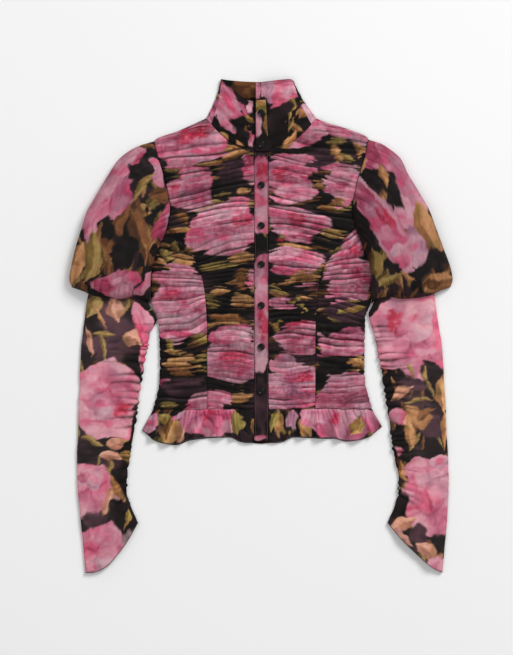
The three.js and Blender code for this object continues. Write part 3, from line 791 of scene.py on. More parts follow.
def brushed(p, q, squeeze):
    """Moves points a little, so that every edge is a brush stroke."""
    q = q / squeeze
    moved_p = p + 1.9 * noise(p / 8, q / 8, 31) + 0.8 * noise(p / 3, q / 3, 32)
    moved_q = q + 1.9 * noise(p / 8, q / 8, 33) + 0.8 * noise(p / 3, q / 3, 34)
    return moved_p, moved_q * squeeze


def tinted(colour, shade, p, q, squeeze, seed):
    """Broad cool grey-pink lights and hot pink strokes in the petals."""
    p, q = p / 1.9, q / (1.6 * squeeze)
    cool = smoothstep(0.0, 0.6, noise(p / 9, q / 10, seed))[..., None]
    hot = smoothstep(0.1, 0.65, noise(p / 7 + 40, q / 6, seed + 2))[..., None]
    pale = smoothstep(0.1, 0.65, noise(p / 6 + 80, q / 5, seed + 4))[..., None]
    colour = mix(colour, paint_at("lilac", shade - 0.2), 0.65 * cool)
    colour = mix(colour, paint_at("hot", shade), 0.7 * hot)
    return mix(colour, paint_at("pale", 0 * shade), 0.55 * pale)


def laid_over(colour, motif, u, v, p, q, squeeze, seed):
    """Colours with one motif painted over them."""
    shape, softest = MOTIF_KINDS[motif.kind]
    depth, shade = shape(u, v, seed)
    cover = smoothstep(0, max(softest, LEAST_BLUR / motif.half_width), depth)[..., None]
    if motif.kind == "heart":
        strokes = smoothstep(-0.5, 0.3, noise(p / 3, q / (3 * squeeze), seed))
        cover = cover * (0.35 + 0.55 * strokes)[..., None]
    shade = shade + 0.15 * rough_noise(p / 7, q / (7 * squeeze), seed)
    fresh = paint_at(motif.paint, shade)
    if motif.kind in ("bloom", "petal"):
        fresh = tinted(fresh, shade, p, q, squeeze, seed)
    if motif.kind == "leaf":
        turning = smoothstep(0.0, 0.5, noise(p / 7, q / (7 * squeeze), seed))[..., None]
        fresh = mix(fresh, paint_at(("olive", "tan", "brown")[seed % 3], shade), 0.5 * turning)
    return mix(colour, fresh, cover)


def printed(piece, p, q):
    """Colours of the print, 0 to 255, at points of a cut piece given in the photo's pixels."""
    kind = piece.split("_")[0]
    squeeze = RUCHED_SQUEEZE if kind == "front" else 1.0
    p, q = brushed(p, q, squeeze)
    ground = 0.5 + 0.4 * rough_noise(p / 14, q / 9, 3)
    tint = smoothstep(0, 0.5, noise(p / 26, q / 15, 8))[..., None]
    colour = mix(paint_at("dark", ground), paint_at("plum", ground), 0.65 * tint)
    colour = leaf_sprays(kind, p, q, colour)
    for number, motif in enumerate(MOTIFS[piece]):
        u, v = motif_frame(p, q, motif)
        near = (np.abs(u) < 1.4) & (np.abs(v) < 1.6)
        if near.any():
            here = (u[near], v[near], p[near], q[near])
            colour[near] = laid_over(colour[near], motif, *here, squeeze, number + len(piece))
    # A fine crinkle of painted light and shade over the whole print.
    crinkle = 1 + 0.09 * rough_noise(p / 2.4, q / 2.2, 21)
    return colour * crinkle[..., None] * TONES[kind]


def linear(colour):
    """Colours from 0 to 255 as light from 0 to 1."""
    c = np.clip(colour / 255, 0, 1)
    return np.where(c <= 0.04045, c / 12.92, ((c + 0.055) / 1.055) ** 2.4)


# Meshes

SHIFT_NODE = "button_3"
shift_low, shift_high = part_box(SHIFT_NODE)
SHIFT = np.array(
    [
        (shift_low[0] + shift_high[0]) / 2 / MM,
        (shift_low[1] + shift_high[1]) / 2 / MM - PLACKET_BUTTON_Y[0],
        0,
    ]
)


def add_object(name, data):
    made = bpy.data.objects.new(name, data)
    bpy.context.collection.objects.link(made)
    return made


def add_mesh(name, points, faces):
    """A smooth mesh from points in millimetres, at the garment's place in the frame."""
    mesh = bpy.data.meshes.new(name)
    mesh.from_pydata(((points + SHIFT) * MM).tolist(), [], faces)
    mesh.shade_smooth()
    return add_object(name, mesh)


def lay_out(points):
    """The right side doesn't lie as the exact mirror image of the left."""
    x, y = points[..., 0], points[..., 1]
    sleeve_in, body_out, up = (look_up(LAY_RIGHT, "y", name, y) for name in ("sleeve_in", "body_out", "up"))
    moved = points.copy()
    moved[..., 0] = x + body_out * smoothstep(100, 172, x) - sleeve_in * smoothstep(165, 260, x)
    moved[..., 1] = y + up * smoothstep(94, 150, x) * (1 - smoothstep(205, 225, x))
    return moved


def grid_normals(grid, closed):
    """Unit normals of a grid of points, turned up where the middle row is highest."""
    down = np.gradient(grid, axis=0)
    if closed:
        across = np.roll(grid, -1, 1) - np.roll(grid, 1, 1)
        axis = np.gradient(grid.mean(1), axis=0)
        down[..., :2] = axis[:, None, :2]
    else:
        across = np.gradient(grid, axis=1)
    normals = np.cross(across, down)
    normals /= np.maximum(np.linalg.norm(normals, axis=2, keepdims=True), 1e-9)
    middle = len(grid) // 2
    top = grid[middle, :, 2].argmax()
    return normals if normals[middle, top, 2] > 0 else -normals


def strip_faces(first, second, closed):
    """Quads between two rows of vertex numbers."""
    if closed:
        first, second = np.append(first, first[0]), np.append(second, second[0])
    return np.stack([first[:-1], first[1:], second[1:], second[:-1]], 1)


def shell(name, outer, inner, closed):
    """A closed wall between two grids of points in millimetres."""
    rows, columns, _ = outer.shape
    number = np.arange(rows * columns).reshape(rows, columns)
    below = number + rows * columns
    faces = []
    for r in range(rows - 1):
        faces.append(strip_faces(number[r], number[r + 1], closed))
        faces.append(strip_faces(below[r + 1], below[r], closed))
    faces.append(strip_faces(below[0], number[0], closed))
    faces.append(strip_faces(number[-1], below[-1], closed))
    if not closed:
        faces.append(strip_faces(number[:, 0], below[:, 0], False))
        faces.append(strip_faces(below[:, -1], number[:, -1], False))
    points = np.concatenate([outer.reshape(-1, 3), inner.reshape(-1, 3)])
    quads = np.concatenate(faces)
    a, b, c, d = (points[quads[:, k]] for k in range(4))
    volume = (a * np.cross(b, c)).sum() + (a * np.cross(c, d)).sum()
    if volume < 0:
        quads = quads[:, ::-1]
    return add_mesh(name, points, quads.tolist())


REVERSE_SHADE = 0.72


def paint(piece, colours, inside):
    """Stores the print, with the shade and highlights painted into it, on a shell. Its inner face has the
    print's reverse unless it is given its own.
    """
    reverse = colours * REVERSE_SHADE if inside is None else inside
    both = np.concatenate([colours.reshape(-1, 3), reverse.reshape(-1, 3)])
    data = np.ones((len(both), 4))
    data[:, :3] = linear(both)
    layer = piece.data.attributes.new("print", "FLOAT_COLOR", "POINT")
    layer.data.foreach_set("color", data.ravel())


def photo_place(points):
    """The photo's pixel over each point of the garment."""
    return PHOTO_X0 + points[..., 0] / PIXEL, PHOTO_Y0 - points[..., 1] / PIXEL


# Node trees and materials


class Wire:
    """A socket with arithmetic: an expression on wires adds its Math nodes."""

    def __init__(self, owner, socket):
        self.owner = owner
        self.socket = socket

    def also(self, output):
        """Another output of the same node."""
        return Wire(self.owner, self.socket.node.outputs[output])

    def math(self, operation, *values):
        return self.owner.node("ShaderNodeMath", {"operation": operation}, dict(enumerate(values)))

    def __add__(self, other):
        return self.math("ADD", self, other)

    def __radd__(self, other):
        return self.math("ADD", other, self)

    def __sub__(self, other):
        return self.math("SUBTRACT", self, other)

    def __rsub__(self, other):
        return self.math("SUBTRACT", other, self)

    def __mul__(self, other):
        return self.math("MULTIPLY", self, other)

    def __rmul__(self, other):
        return self.math("MULTIPLY", other, self)


class Tree:
    """A node tree under construction."""

    def __init__(self, tree):
        self.tree = tree

    def node(self, kind, settings=None, inputs=None, output=0):
        """Adds a node. Each of its inputs is a value or a wire."""
        made = self.tree.nodes.new(kind)
        for name, value in (settings or {}).items():
            setattr(made, name, value)
        for name, value in (inputs or {}).items():
            self.feed(made.inputs[name], value)
        return Wire(self, made.outputs[output]) if made.outputs else None

    def feed(self, socket, value):
        if isinstance(value, Wire):
            self.tree.links.new(value.socket, socket)
        else:
            socket.default_value = value


class Look(Tree):
    """A material under construction."""

    def __init__(self, name):
        self.material = bpy.data.materials.new(name)
        self.material.use_nodes = True
        super().__init__(self.material.node_tree)
        self.shader = self.tree.nodes["Principled BSDF"]

    def place(self):
        return self.node("ShaderNodeTexCoord", output="Object")

    def noise(self, place, scale, detail, distortion=0.0):
        inputs = {"Vector": place, "Scale": scale, "Detail": detail, "Distortion": distortion}
        return self.node("ShaderNodeTexNoise", inputs=inputs)

    def blend(self, factor, first, second, how="MIX"):
        settings = {"data_type": "RGBA", "blend_type": how}
        return self.node("ShaderNodeMix", settings, {"Factor": factor, 6: first, 7: second}, output=2)

    def set(self, **values):
        for name, value in values.items():
            self.feed(self.shader.inputs[name.replace("_", " ")], value)


THREADS_SCALE = 520.0
THREADS_HEIGHT = 0.12
CRINKLE_DEPTH = 0.0006


def chiffon(name, roughness=0.72, crinkle=0.5):
    """Printed crinkled chiffon: the print with its painted shade and highlights, a little uneven dyeing, a
    fine crinkle and the weave.
    """
    look = Look(name)
    place = look.place()
    print_and_painted_light = look.node("ShaderNodeAttribute", {"attribute_name": "print"}, output="Color")
    cloud = look.noise(place, 160.0, 4.0)
    slub = look.noise(place, 900.0, 2.0)
    brightness = 0.86 + 0.2 * cloud + 0.1 * slub
    grey = look.node("ShaderNodeCombineColor", inputs={0: brightness, 1: brightness, 2: brightness})
    colour = look.blend(1.0, print_and_painted_light, grey, "MULTIPLY")
    weave = {"Vector": place, "Scale": THREADS_SCALE, "Distortion": 2.0}
    height = crinkle * look.noise(place, 330.0, 3.0, 0.6)
    for way in ("X", "Y"):
        threads = look.node("ShaderNodeTexWave", {"bands_direction": way}, weave, output=1)
        height = height + THREADS_HEIGHT * threads
    relief = {"Strength": 0.5, "Distance": CRINKLE_DEPTH, "Height": height}
    bump = look.node("ShaderNodeBump", inputs=relief)
    look.set(Base_Color=colour, Roughness=roughness + 0.12 * cloud, Normal=bump)
    look.set(Sheen_Weight=0.02, Sheen_Roughness=0.4, Specular_IOR_Level=0.1)
    return look.material


def black_gloss():
    look = Look("black_button")
    place = look.place()
    swirl = look.noise(place, 420.0, 2.0)
    scuffs = look.noise(place, 1400.0, 3.0)
    colour = look.blend(swirl, (0.003, 0.003, 0.0035, 1), (0.008, 0.0075, 0.008, 1))
    look.set(Base_Color=colour, Roughness=0.24 + 0.14 * scuffs, Specular_IOR_Level=0.2)
    return look.material


def thread(name, colour):
    look = Look(name)
    twist = look.noise(look.place(), 2400.0, 2.0)
    light = tuple(min(1, c * 1.6) for c in colour)
    shade = look.blend(twist, (*colour, 1), (*light, 1))
    look.set(Base_Color=shade, Roughness=0.5 + 0.2 * twist)
    return look.material


BODY_CLOTH = chiffon("ruched_chiffon")
SLEEVE_CLOTH = chiffon("sheer_chiffon", roughness=0.66, crinkle=0.4)
BAND_CLOTH = chiffon("faced_chiffon", roughness=0.7, crinkle=0.3)
DARK_THREAD = thread("dark_thread", (0.03, 0.022, 0.026))
ROSE_THREAD = thread("rose_thread", (0.13, 0.04, 0.065))
BUTTON_LOOK = black_gloss()

# Sheets of cloth: material, flat size in metres, how it is held, and the cut's area where it isn't the whole

SHEETS = {
    "back_panel": (BODY_CLOTH, (0.38, 0.74), "gathered", 0.225),
    "front_centre": (BODY_CLOTH, (0.172, 0.75), "gathered", 0.0755),
    "front_side": (BODY_CLOTH, (0.1, 0.47), "gathered", 0.034),
    "flounce_back": (BODY_CLOTH, (0.41, 0.06), "gathered", 0.0235),
    "flounce_front": (BODY_CLOTH, (0.26, 0.06), "gathered", 0.0145),
    "button_stand": (BAND_CLOTH, (0.0234, 0.493), "laid", None),
    "placket": (BAND_CLOTH, (0.0234, 0.494), "laid", None),
    "collar": (BAND_CLOTH, (0.46, 0.13), "folded", 0.04),
    "collar_band": (BAND_CLOTH, (0.022, 0.088), "laid", None),
    "puff": (SLEEVE_CLOTH, (0.5, 0.3), "gathered", 0.092),
    "sleeve": (SLEEVE_CLOTH, (0.26, 0.56), "gathered", 0.125),
}


def cloth(node, outer, inner, colours, inside=None, closed=False):
    """A finished sheet in place of the solid of the same name."""
    surface, flat, held, area = SHEETS[node.removesuffix("_left").removesuffix("_right")]
    piece = shell(f"{node}_cloth", outer, inner, closed)
    paint(piece, colours, inside)
    piece.data.materials.append(surface)
    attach(piece, "root")
    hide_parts(node)


# Ruched panels

FINER = 1.6 # folds that show for each fold of the solid
ROWS_PER_FOLD = 12
ROWS_PLAIN = 8 # rows of points where a panel has no fold
CENTRE_COLUMNS = 62
SIDE_COLUMNS = 40
WAIST_REACH = 30 # how far up the flounce's gathers pull the panel
EDGE_BUMP = 1.8 # how far each fold stands out at the side seam
JAG = 9.5 # how far the print shifts sideways from fold to fold at most, in the photo's pixels
LIFT_JAG = 2.2 # and up or down
CREASE_SHADE = 0.64 # what the deepest crease takes of the light
CROWN_LIGHT = 14 # what the crown of a fold adds, out of 255
STRIP_SHADE = 0.16 # how much lighter or darker one fold is than the next


def fold_rows(rows, per_fold, per_plain):
    """Row numbers at which a panel's points lie, and the fold that each has reached."""
    samples, phases, so_far = [], [], 0
    for i, folds in enumerate(rows["folds"][:-1]):
        steps = int(folds * per_fold) if folds else per_plain
        t = np.arange(steps) / steps
        samples.append(i + t)
        phases.append(so_far + folds * t)
        so_far += folds
    samples.append([len(rows["folds"]) - 1.0])
    phases.append([so_far])
    return np.concatenate(samples), np.concatenate(phases)


def front_dome(x):
    return FRONT_DOME * (1 - np.minimum(1, np.abs(x) / DOME_HALF) ** 4)


def crease_depth(number, u, seed):
    """Most creases cross the panel. Others start at one of its seams and die out."""
    kind = scatter(number, seed + 11)
    depth = 0.17 + 0.95 * scatter(number, seed + 12) ** 1.35
    end = 0.35 + 0.5 * scatter(number, seed + 13)
    from_outer = 1 - smoothstep(end - 0.3, end, u)
    from_inner = smoothstep(1 - end, 1.3 - end, u)
    reach = np.where(kind < 0.27, from_outer, np.where(kind > 0.7, from_inner, 1.0))
    return depth * (0.12 + 0.88 * reach)


def waist_wave(x, sign):
    """The gathers of the flounce pull its seam up and down."""
    return 1.3 * noise(x / 21, 0, 51 + sign) + 0.7 * noise(x / 8, 0, 53 + sign) - 0.6


def shaded_folds(colours, x, y, number, within, creases, seed):
    """The print with painted shade in its creases and across its small tucks, and a painted highlight on the
    crowns of its folds.
    """
    below, above = creases
    crease = below * bell(within, 0.13) + above * bell(1 - within, 0.1)
    crown = smoothstep(0.45, 0.8, within) * (1 - smoothstep(0.8, 0.97, within)) * above
    strip = STRIP_SHADE * swing(number, seed + 15)
    tuck_shade = 0.11 * noise(x / 3.2, number * 3.7, seed + 16) + 0.06 * noise(x / 7, y / 3, seed + 17)
    shade = (1 - CREASE_SHADE * np.minimum(crease, 1)) * (1 + 0.09 * crown + strip + tuck_shade)
    return colours * shade[..., None] + (CROWN_LIGHT * crown)[..., None]


def ruched_panel(node, rows, edges, sign, seed, columns):
    row, fold = fold_rows(rows, ROWS_PER_FOLD, ROWS_PLAIN)
    fold = (fold * FINER)[:, None]
    x0, y0, x1, y1 = (value[:, None] for value in edges(row))
    u = np.linspace(0, 1, columns + 1)[None, :]
    x, y = mix(x0, x1, u), mix(y0, y1, u)
    y = y + waist_wave(x, sign) * (1 - smoothstep(WAIST_SEAM_Y, WAIST_SEAM_Y + WAIST_REACH, y))
    ends = smoothstep(0, 2, fold) * smoothstep(0, 2, fold[-1] - fold)
    drift = 0.8 * noise(u * 1.6 + 7, fold * 0.23, seed) + 0.09 * noise(u * 6, fold * 0.8, seed + 1)
    phase = fold + drift * ends
    number = np.floor(phase)
    within = phase - number
    below, above = crease_depth(number, u, seed), crease_depth(number + 1, u, seed)
    valley = below * (1 - within) ** 3.2 + above * within**4.2
    crest = 1 - valley - 0.25 * (1 - np.sin(np.pi * within))
    swell = 0.8 + 0.3 * noise(u * 3 + number * 5.3, number, seed + 2)
    rise = FOLD_AT_SEAM + (1 - FOLD_AT_SEAM) * np.sin(np.pi * u) ** 0.6
    fine = 0.16 * noise(x / 4, y / 1.8, seed) + 0.1 * noise(x / 2, y / 1.2, seed + 4)
    if node.startswith("front_side"):
        x = x + EDGE_BUMP * (crest - 0.75) * (1 - u) ** 5 * (1 - smoothstep(10, 40, y))
    z = FRONT_LIFT + SOLID_WALL + front_dome(x) + FOLD_HEIGHT * rise * crest * swell + fine * rise
    outer = lay_out(np.stack([sign * x, y, np.maximum(z, FRONT_LIFT + CLOTH + 0.1)], 2))
    p, q = photo_place(outer)
    p = p + JAG * swing(number, seed + 6) ** 3 * np.sin(np.pi * u) ** 0.3
    q = q + LIFT_JAG * swing(number, seed + 8) + 2.5 * (0.5 - within)
    colours = shaded_folds(printed(node, p, q), x, y, number, within, (below, above), seed)
    cloth(node, outer, outer - [0, 0, CLOTH], colours)


def front_edges(row):
    return read(CENTRE_FRONT, row, "out_x", "out_y", "in_x", "in_y")


def side_edges(row):
    seam, out_x, out_y = read(SIDE_FRONT, row, "seam", "out_x", "out_y")
    seam_x, seam_y, _, _ = front_edges(seam)
    return out_x, out_y, seam_x + SEAM_SHOWS, seam_y


# The back, pressed flat above and gathered on the face that it rests on

BACK_INSET = 1.0
BACK_COLUMNS = 90
BACK_ROWS = 120
BACK_TOP_Y = 350
BACK_FOLD = 15 # from trough to trough
BACK_TROUGH = 0.7


def back_neck(x):
    return look_up(BACK_NECK, "x", "y", np.abs(x))


def back_side(y):
    """Half width of the back at each height, by the side seam, armhole and shoulder."""
    _, side_x, side_y = read(SIDE_FRONT, np.linspace(0, 7, 60), "seam", "out_x", "out_y")
    arm_x, arm_y = read(ARMHOLE, np.linspace(6.2, 0, 60), "x", "y")
    ys = np.concatenate([side_y, arm_y, [333, 352.5]])
    xs = np.concatenate([side_x, arm_x, [139, 94]])
    order = np.argsort(ys)
    return np.interp(y, ys[order], xs[order])


def pressed_cloth(node, x, y, z, shade):
    bottom = lay_out(np.stack([x, y, z], 2))
    upper = bottom.copy()
    upper[..., 2] = SOLID_WALL
    face = printed("back", *photo_place(bottom)) * shade
    cloth(node, upper, bottom, face * REVERSE_SHADE, inside=face)


def back_panel():
    y_side = np.linspace(WAIST_SEAM_Y, BACK_TOP_Y, BACK_ROWS)
    u = np.linspace(-1, 1, BACK_COLUMNS)
    x = (back_side(y_side) - BACK_INSET)[:, None] * u[None, :]
    y = np.minimum(y_side[:, None], back_neck(x))
    phase = (y - WAIST_SEAM_Y) / BACK_FOLD + 0.5 * noise(u[None, :] * 3 + 0 * y, y / 40, 21)
    trough = BACK_TROUGH * np.clip(np.sin(np.pi * (phase % 1)), 0, 1) ** 0.5
    # Painted shade in bands along the gathers, where the resting face lifts off the floor.
    pressed_cloth("back_panel", x, y, BACK_TROUGH - trough, (1 - 0.3 * (trough < 0.3))[..., None])


def make_body():
    back_panel()
    for word, sign in SIDES:
        ruched_panel(f"front_centre_{word}", CENTRE_FRONT, front_edges, sign, 11 + sign, CENTRE_COLUMNS)
        ruched_panel(f"front_side_{word}", SIDE_FRONT, side_edges, sign, 31 + sign, SIDE_COLUMNS)


# The flounce

FLOUNCE_WAVES = 7
FLOUNCE_SWING = 1.0
FLOUNCE_TOP_X = 184
FLOUNCE_COLUMNS = 190
FLOUNCE_ROWS = 34
GATHERS = 21 # small gathers along its seam, on each side
GATHER_HEIGHT = 1.9
BACK_FLOUNCE_COLUMNS = 180
BACK_FLOUNCE_ROWS = 16
BACK_PLEATS = 30


def front_flounce(word, sign):
    down = np.linspace(0, 1, FLOUNCE_ROWS)[:, None]
    u = np.linspace(0, 1, FLOUNCE_COLUMNS)[None, :]
    hem_x, hem_y, crest = read_share(FLOUNCE_HEM, u, "x", "y", "crest")
    held = smoothstep(0, 0.05, u) * smoothstep(0, 0.05, 1 - u)
    wander = 0.35 * noise(u * 6, down * 1.2, 41 + sign) * held
    turn = 2 * np.pi * (FLOUNCE_WAVES * u + wander)
    top_x = mix(FLOUNCE_HEM["x"][0], FLOUNCE_TOP_X, u)
    x = mix(top_x, hem_x, down) + FLOUNCE_SWING * np.sin(turn) * down * smoothstep(0, 0.04, u)
    y = mix(WAIST_SEAM_Y - SEAM_SHOWS + waist_wave(top_x, sign), hem_y, down) + 0 * x
    ruffle = (0.5 - 0.5 * np.cos(turn)) * crest * (0.2 + 0.8 * down)
    lines = GATHERS * u + 1.5 * noise(u * 8, down * 0.8, 43 + sign)
    nearest = np.floor(lines + 0.5)
    pleats = np.abs(np.sin(np.pi * lines)) ** 0.6
    strength = 0.15 + 0.95 * scatter(nearest, 44 + sign) ** 1.5
    tuck = pleats * (0.5 + 0.5 * strength)
    gather = GATHER_HEIGHT * tuck * (1 - down) ** 0.8 * smoothstep(0, 0.08, down) + 0.4 * tuck * down
    z = FRONT_LIFT + SOLID_WALL + front_dome(top_x) * (1 - down) + ruffle + gather
    outer = lay_out(np.stack([sign * x, y, z], 2))
    p, q = photo_place(outer)
    p = p + 3 * noise(u * 12, down * 1.5, 47)
    # Painted shade in the valleys of the gathers, fading down the flounce, and in the low parts of its
    # ruffle.
    reach = np.clip(1 - down * (0.7 + 0.8 * scatter(nearest, 45)), 0, 1)
    shade = 1 - 0.55 * strength * bell(pleats, 0.4) * reach
    shade = shade * (1 - 0.26 * (0.5 + 0.5 * np.cos(turn)) * (0.25 + 0.75 * down))
    node = f"flounce_front_{word}"
    cloth(node, outer, outer - [0, 0, CLOTH], printed(node, p, q) * shade[..., None])


def back_flounce():
    down = np.linspace(0, 1, BACK_FLOUNCE_ROWS)[:, None]
    u = np.linspace(-1, 1, BACK_FLOUNCE_COLUMNS)[None, :]
    reach = np.abs(u)
    hem_x, hem_y = read_share(FLOUNCE_HEM, reach, "x", "y")
    hem_x = np.where(reach < 0.02, 0, hem_x - 1) * np.sign(u + 1e-9)
    start = FLOUNCE_HEM["x"][0] * smoothstep(0, 0.08, reach)
    hem_x = np.where(reach < 0.08, start * np.sign(u), hem_x)
    x = mix(FLOUNCE_TOP_X * u, hem_x, down)
    y = mix(WAIST_SEAM_Y - SEAM_GAP, hem_y - 2, down) + 0 * x
    pleats = np.abs(np.sin(np.pi * BACK_PLEATS * u)) ** 0.6
    pressed_cloth("flounce_back", x, y, 0.5 * (1 - pleats) * (1 - 0.5 * down), 1)


def make_flounce():
    back_flounce()
    for word, sign in SIDES:
        front_flounce(word, sign)


# The button band and its stand

STAND_COLUMNS = 9
STAND_ROWS = 120
PLACKET_COLUMNS = 17
PLACKET_ROWS = 400
EDGE_LINE_SHADE = 0.16


def band_wander(y):
    """No band is laid quite straight."""
    return 0.3 * np.sin(2 * np.pi * y / 95)


def band_strip(node, under, low, wall, foot_y, columns, rows, seed):
    y = np.linspace(foot_y, NECK_Y, rows)[:, None]
    u = np.linspace(-1, 1, columns)[None, :]
    pucker = 0.25 * noise(u * 1.5, y / 9, seed) + 0.3 * noise(u, y / 30, seed + 1)
    edge = smoothstep(0, 0.12, 1 - np.abs(u))
    z = low + wall - 0.25 + 0.25 * edge + pucker * edge
    x = PLACKET_HALF * u + band_wander(y)
    outer = np.stack([x, y + 0 * x, z], 2)
    inner = outer.copy()
    inner[..., 2] = low
    line = bell(1 - np.abs(u), 0.05) + 0 * y
    colours = printed("placket", *photo_place(outer)) * (1 - EDGE_LINE_SHADE * line)[..., None]
    cloth(node, outer, inner, colours)


def make_bands():
    stand = (STAND_Z, STAND_WALL - 0.3, PLACKET_FOOT_Y + 1, STAND_COLUMNS, STAND_ROWS, 61)
    band_strip("button_stand", "back_panel", *stand)
    band = (PLACKET_Z, PLACKET_WALL, PLACKET_FOOT_Y, PLACKET_COLUMNS, PLACKET_ROWS, 63)
    band_strip("placket", "button_stand", *band)


# The collar

LAST_STATION = len(COLLAR["neck"]) - 1
MIDDLE_STATION = LAST_STATION / 2 # the middle of the back of the neck
SHOULDER = 4 # neck numbers count from the middle: the back up to here, and the front from here
FRONT_CORNER = 8
NECK_ROWS = 18 # neck number and row of the centre fronts, added up
COLLAR_COLUMNS = 300
COLLAR_ROWS = 64
BAND_COLUMNS = 14
BAND_ROWS = 70
COLLAR_HALF = 0.65 # of its cloth, to each side of its middle


def neck_seam(neck):
    out = np.abs(neck)
    back_x, back_y = read(BACK_NECK, np.minimum(out, SHOULDER), "x", "y")
    _, _, front_x, front_y = front_edges(NECK_ROWS - np.clip(out, SHOULDER, FRONT_CORNER))
    front_x = front_x - np.maximum(0, out - FRONT_CORNER) * COLLAR_LAP
    is_back = out <= SHOULDER
    x = np.where(is_back, back_x, front_x)
    y = np.where(is_back, back_y + 3 * SEAM_GAP, front_y + SEAM_SHOWS)
    return np.sign(neck) * x, y


def collar_point(station, up):
    neck, foot_z, top_x, top_y, top_z = read(COLLAR, station, "neck", "foot_z", "top_x", "top_y", "top_z")
    foot_x, foot_y = neck_seam(neck)
    belly = 1.6 * np.sin(np.pi * up) * smoothstep(1.2, 5, foot_z)
    x = mix(foot_x, top_x, up)
    waist = COLLAR_WAIST * np.sin(np.pi * up) * smoothstep(15, 55, np.abs(x))
    return np.stack([x - np.sign(x) * waist, mix(foot_y, top_y, up), mix(foot_z, top_z, up) + belly], 2)


def collar_creases(station, up):
    """Soft folds that run round the collar, stronger low down and at its folded sides."""
    drift = 0.35 * noise(station * 0.9, up * 3, 71)
    lines = np.sin(2 * np.pi * (up * 5.2 + drift) + 0.5 * noise(station, up, 72))
    front = smoothstep(1.2, 3, np.abs(station - MIDDLE_STATION))
    return front * (0.35 * lines * (1 - 0.5 * up) + 0.35 * noise(station * 2, up * 6, 73))


def collar_grid(first_station, columns, top, rows):
    """Stations and heights from a first station to the last, and the collar's middle and normals there."""
    station = np.linspace(first_station, LAST_STATION, columns)[None, :]
    up = np.linspace(0, top, rows)[:, None]
    middle = collar_point(station + 0 * up, up + 0 * station)
    return station, up, middle, grid_normals(middle, False)


def funnel_collar():
    station, up, middle, normals = collar_grid(0, COLLAR_COLUMNS, 1, COLLAR_ROWS)
    crease = collar_creases(station, up) * smoothstep(0, 0.06, up) * smoothstep(0, 0.06, 1 - up)
    outer = middle + normals * (COLLAR_HALF + crease)[..., None]
    inner = middle - normals * COLLAR_HALF + normals * crease[..., None]
    p, q = photo_place(outer)
    fold_jag = 2.4 * swing(np.floor(up * 9), 5) + 0 * station
    left, right = (printed(f"collar_{word}", p + fold_jag, q) for word, _ in SIDES)
    front = np.where((p < PHOTO_X0)[..., None], left, right)
    behind = (np.abs(station - MIDDLE_STATION) < SHOULDER + 0.2)[..., None]
    colours = np.where(behind, printed("back", p + 30, q + 110), front)
    # Painted light and shade over the soft creases.
    shade = (1 + 0.25 * crease)[..., None]
    top_line = (1 - 0.25 * smoothstep(0.94, 1, up) + 0 * station)[..., None]
    inside = printed("collar_inside", *photo_place(inner)) * 0.9
    cloth("collar", outer, inner, colours * shade * top_line, inside)


def collar_band():
    """The button band, carried up the front of the collar."""
    station, up, middle, normals = collar_grid(LAST_STATION - 1, BAND_COLUMNS, COLLAR_BAND_TOP, BAND_ROWS)
    low = COLLAR_WALL / 2 + SEAM_GAP
    pucker = 0.2 * noise(station * 3, up * 12, 81)
    outer = middle + normals * (low + BAND_ON_COLLAR - 0.2 + pucker)[..., None]
    cloth("collar_band", outer, middle + normals * low, printed("placket", *photo_place(outer)))


# The tubes of the sleeves

FLOOR_SPAN = 0.38


def ring_height(angle, edge, height, fullness):
    """Heights round a tube that rests: an arch above its edges, flat on the floor below."""
    rise = np.sin(angle)
    above = edge + (height - edge) * np.maximum(rise, 0) ** fullness
    below = edge * np.maximum(0, 1 + np.minimum(rise, 0) / FLOOR_SPAN) ** 2
    return np.where(rise >= 0, above, below)


def ring_angles(upper, lower):
    """Angles round a tube that are closer together on its upper side."""
    top = np.linspace(0, np.pi, upper, endpoint=False)
    return np.concatenate([top, np.linspace(np.pi, 2 * np.pi, lower, endpoint=False)])[None, :]


def tube_cloth(node, middle, wave, colours_at):
    """A tube of cloth over rings of points, raised by a wave and painted by a function of the pixels."""
    normals = grid_normals(middle, True)
    outer, inner = (lay_out(middle + normals * height[..., None]) for height in (wave, wave - CLOTH))
    cloth(node, outer, inner, colours_at(*photo_place(outer)), closed=True)


def tube_print(node, angle, upper, lower):
    """The print round a tube, read at one place above and at another underneath."""
    underneath = (np.sin(angle) < 0)[..., None]
    return np.where(underneath, printed(node, *lower), printed(node, *upper))


PUFF_UPPER = 160
PUFF_LOWER = 54
PUFF_ROWS = 122
PUFF_SEAM_HEIGHT = 6.4
PUFF_HEIGHT = 34
PUFF_END_HEIGHT = 13.6
PUFF_ARMHOLE_GAP = 0.3
PUFF_PLEATS = 17
PUFF_PLEAT_HEIGHT = 2.0
PUFF_HAZE = (120, 104, 112) # a little of the grey that sheer cloth shows over what is behind it
PUFF_HAZE_SHARE = 0.05


def puff_plan(s, w):
    """Places in plan, s down the over-sleeve and w across it, between its four edges."""
    edges = ((PUFF_OUTER, s), (PUFF_INNER, s), (ARMHOLE, w), (PUFF_BOTTOM, w))
    outer, inner, seam, bottom = (read_share(edge, t, "x", "y") for edge, t in edges)
    seam[0] = seam[0] + PUFF_ARMHOLE_GAP
    corners = ((PUFF_OUTER, 0), (PUFF_INNER, 0), (PUFF_OUTER, 1), (PUFF_INNER, 1))
    top_out, top_in, end_out, end_in = (read_share(edge, t, "x", "y") for edge, t in corners)
    plan = []
    for axis in (0, 1):
        between = mix(mix(top_out[axis], top_in[axis], w), mix(end_out[axis], end_in[axis], w), s)
        plan.append(mix(outer[axis], inner[axis], w) + mix(seam[axis], bottom[axis], s) - between)
    return plan


def puff_crown(s):
    rise = np.sin(np.pi * np.minimum(s, 0.5)) ** 0.75
    fall = np.maximum(0, (s - 0.5) / 0.5)
    first = PUFF_SEAM_HEIGHT + (PUFF_HEIGHT - PUFF_SEAM_HEIGHT) * rise
    second = PUFF_END_HEIGHT + (PUFF_HEIGHT - PUFF_END_HEIGHT) * np.sqrt(np.maximum(0, 1 - fall**2.4))
    return np.where(s < 0.5, first, second)


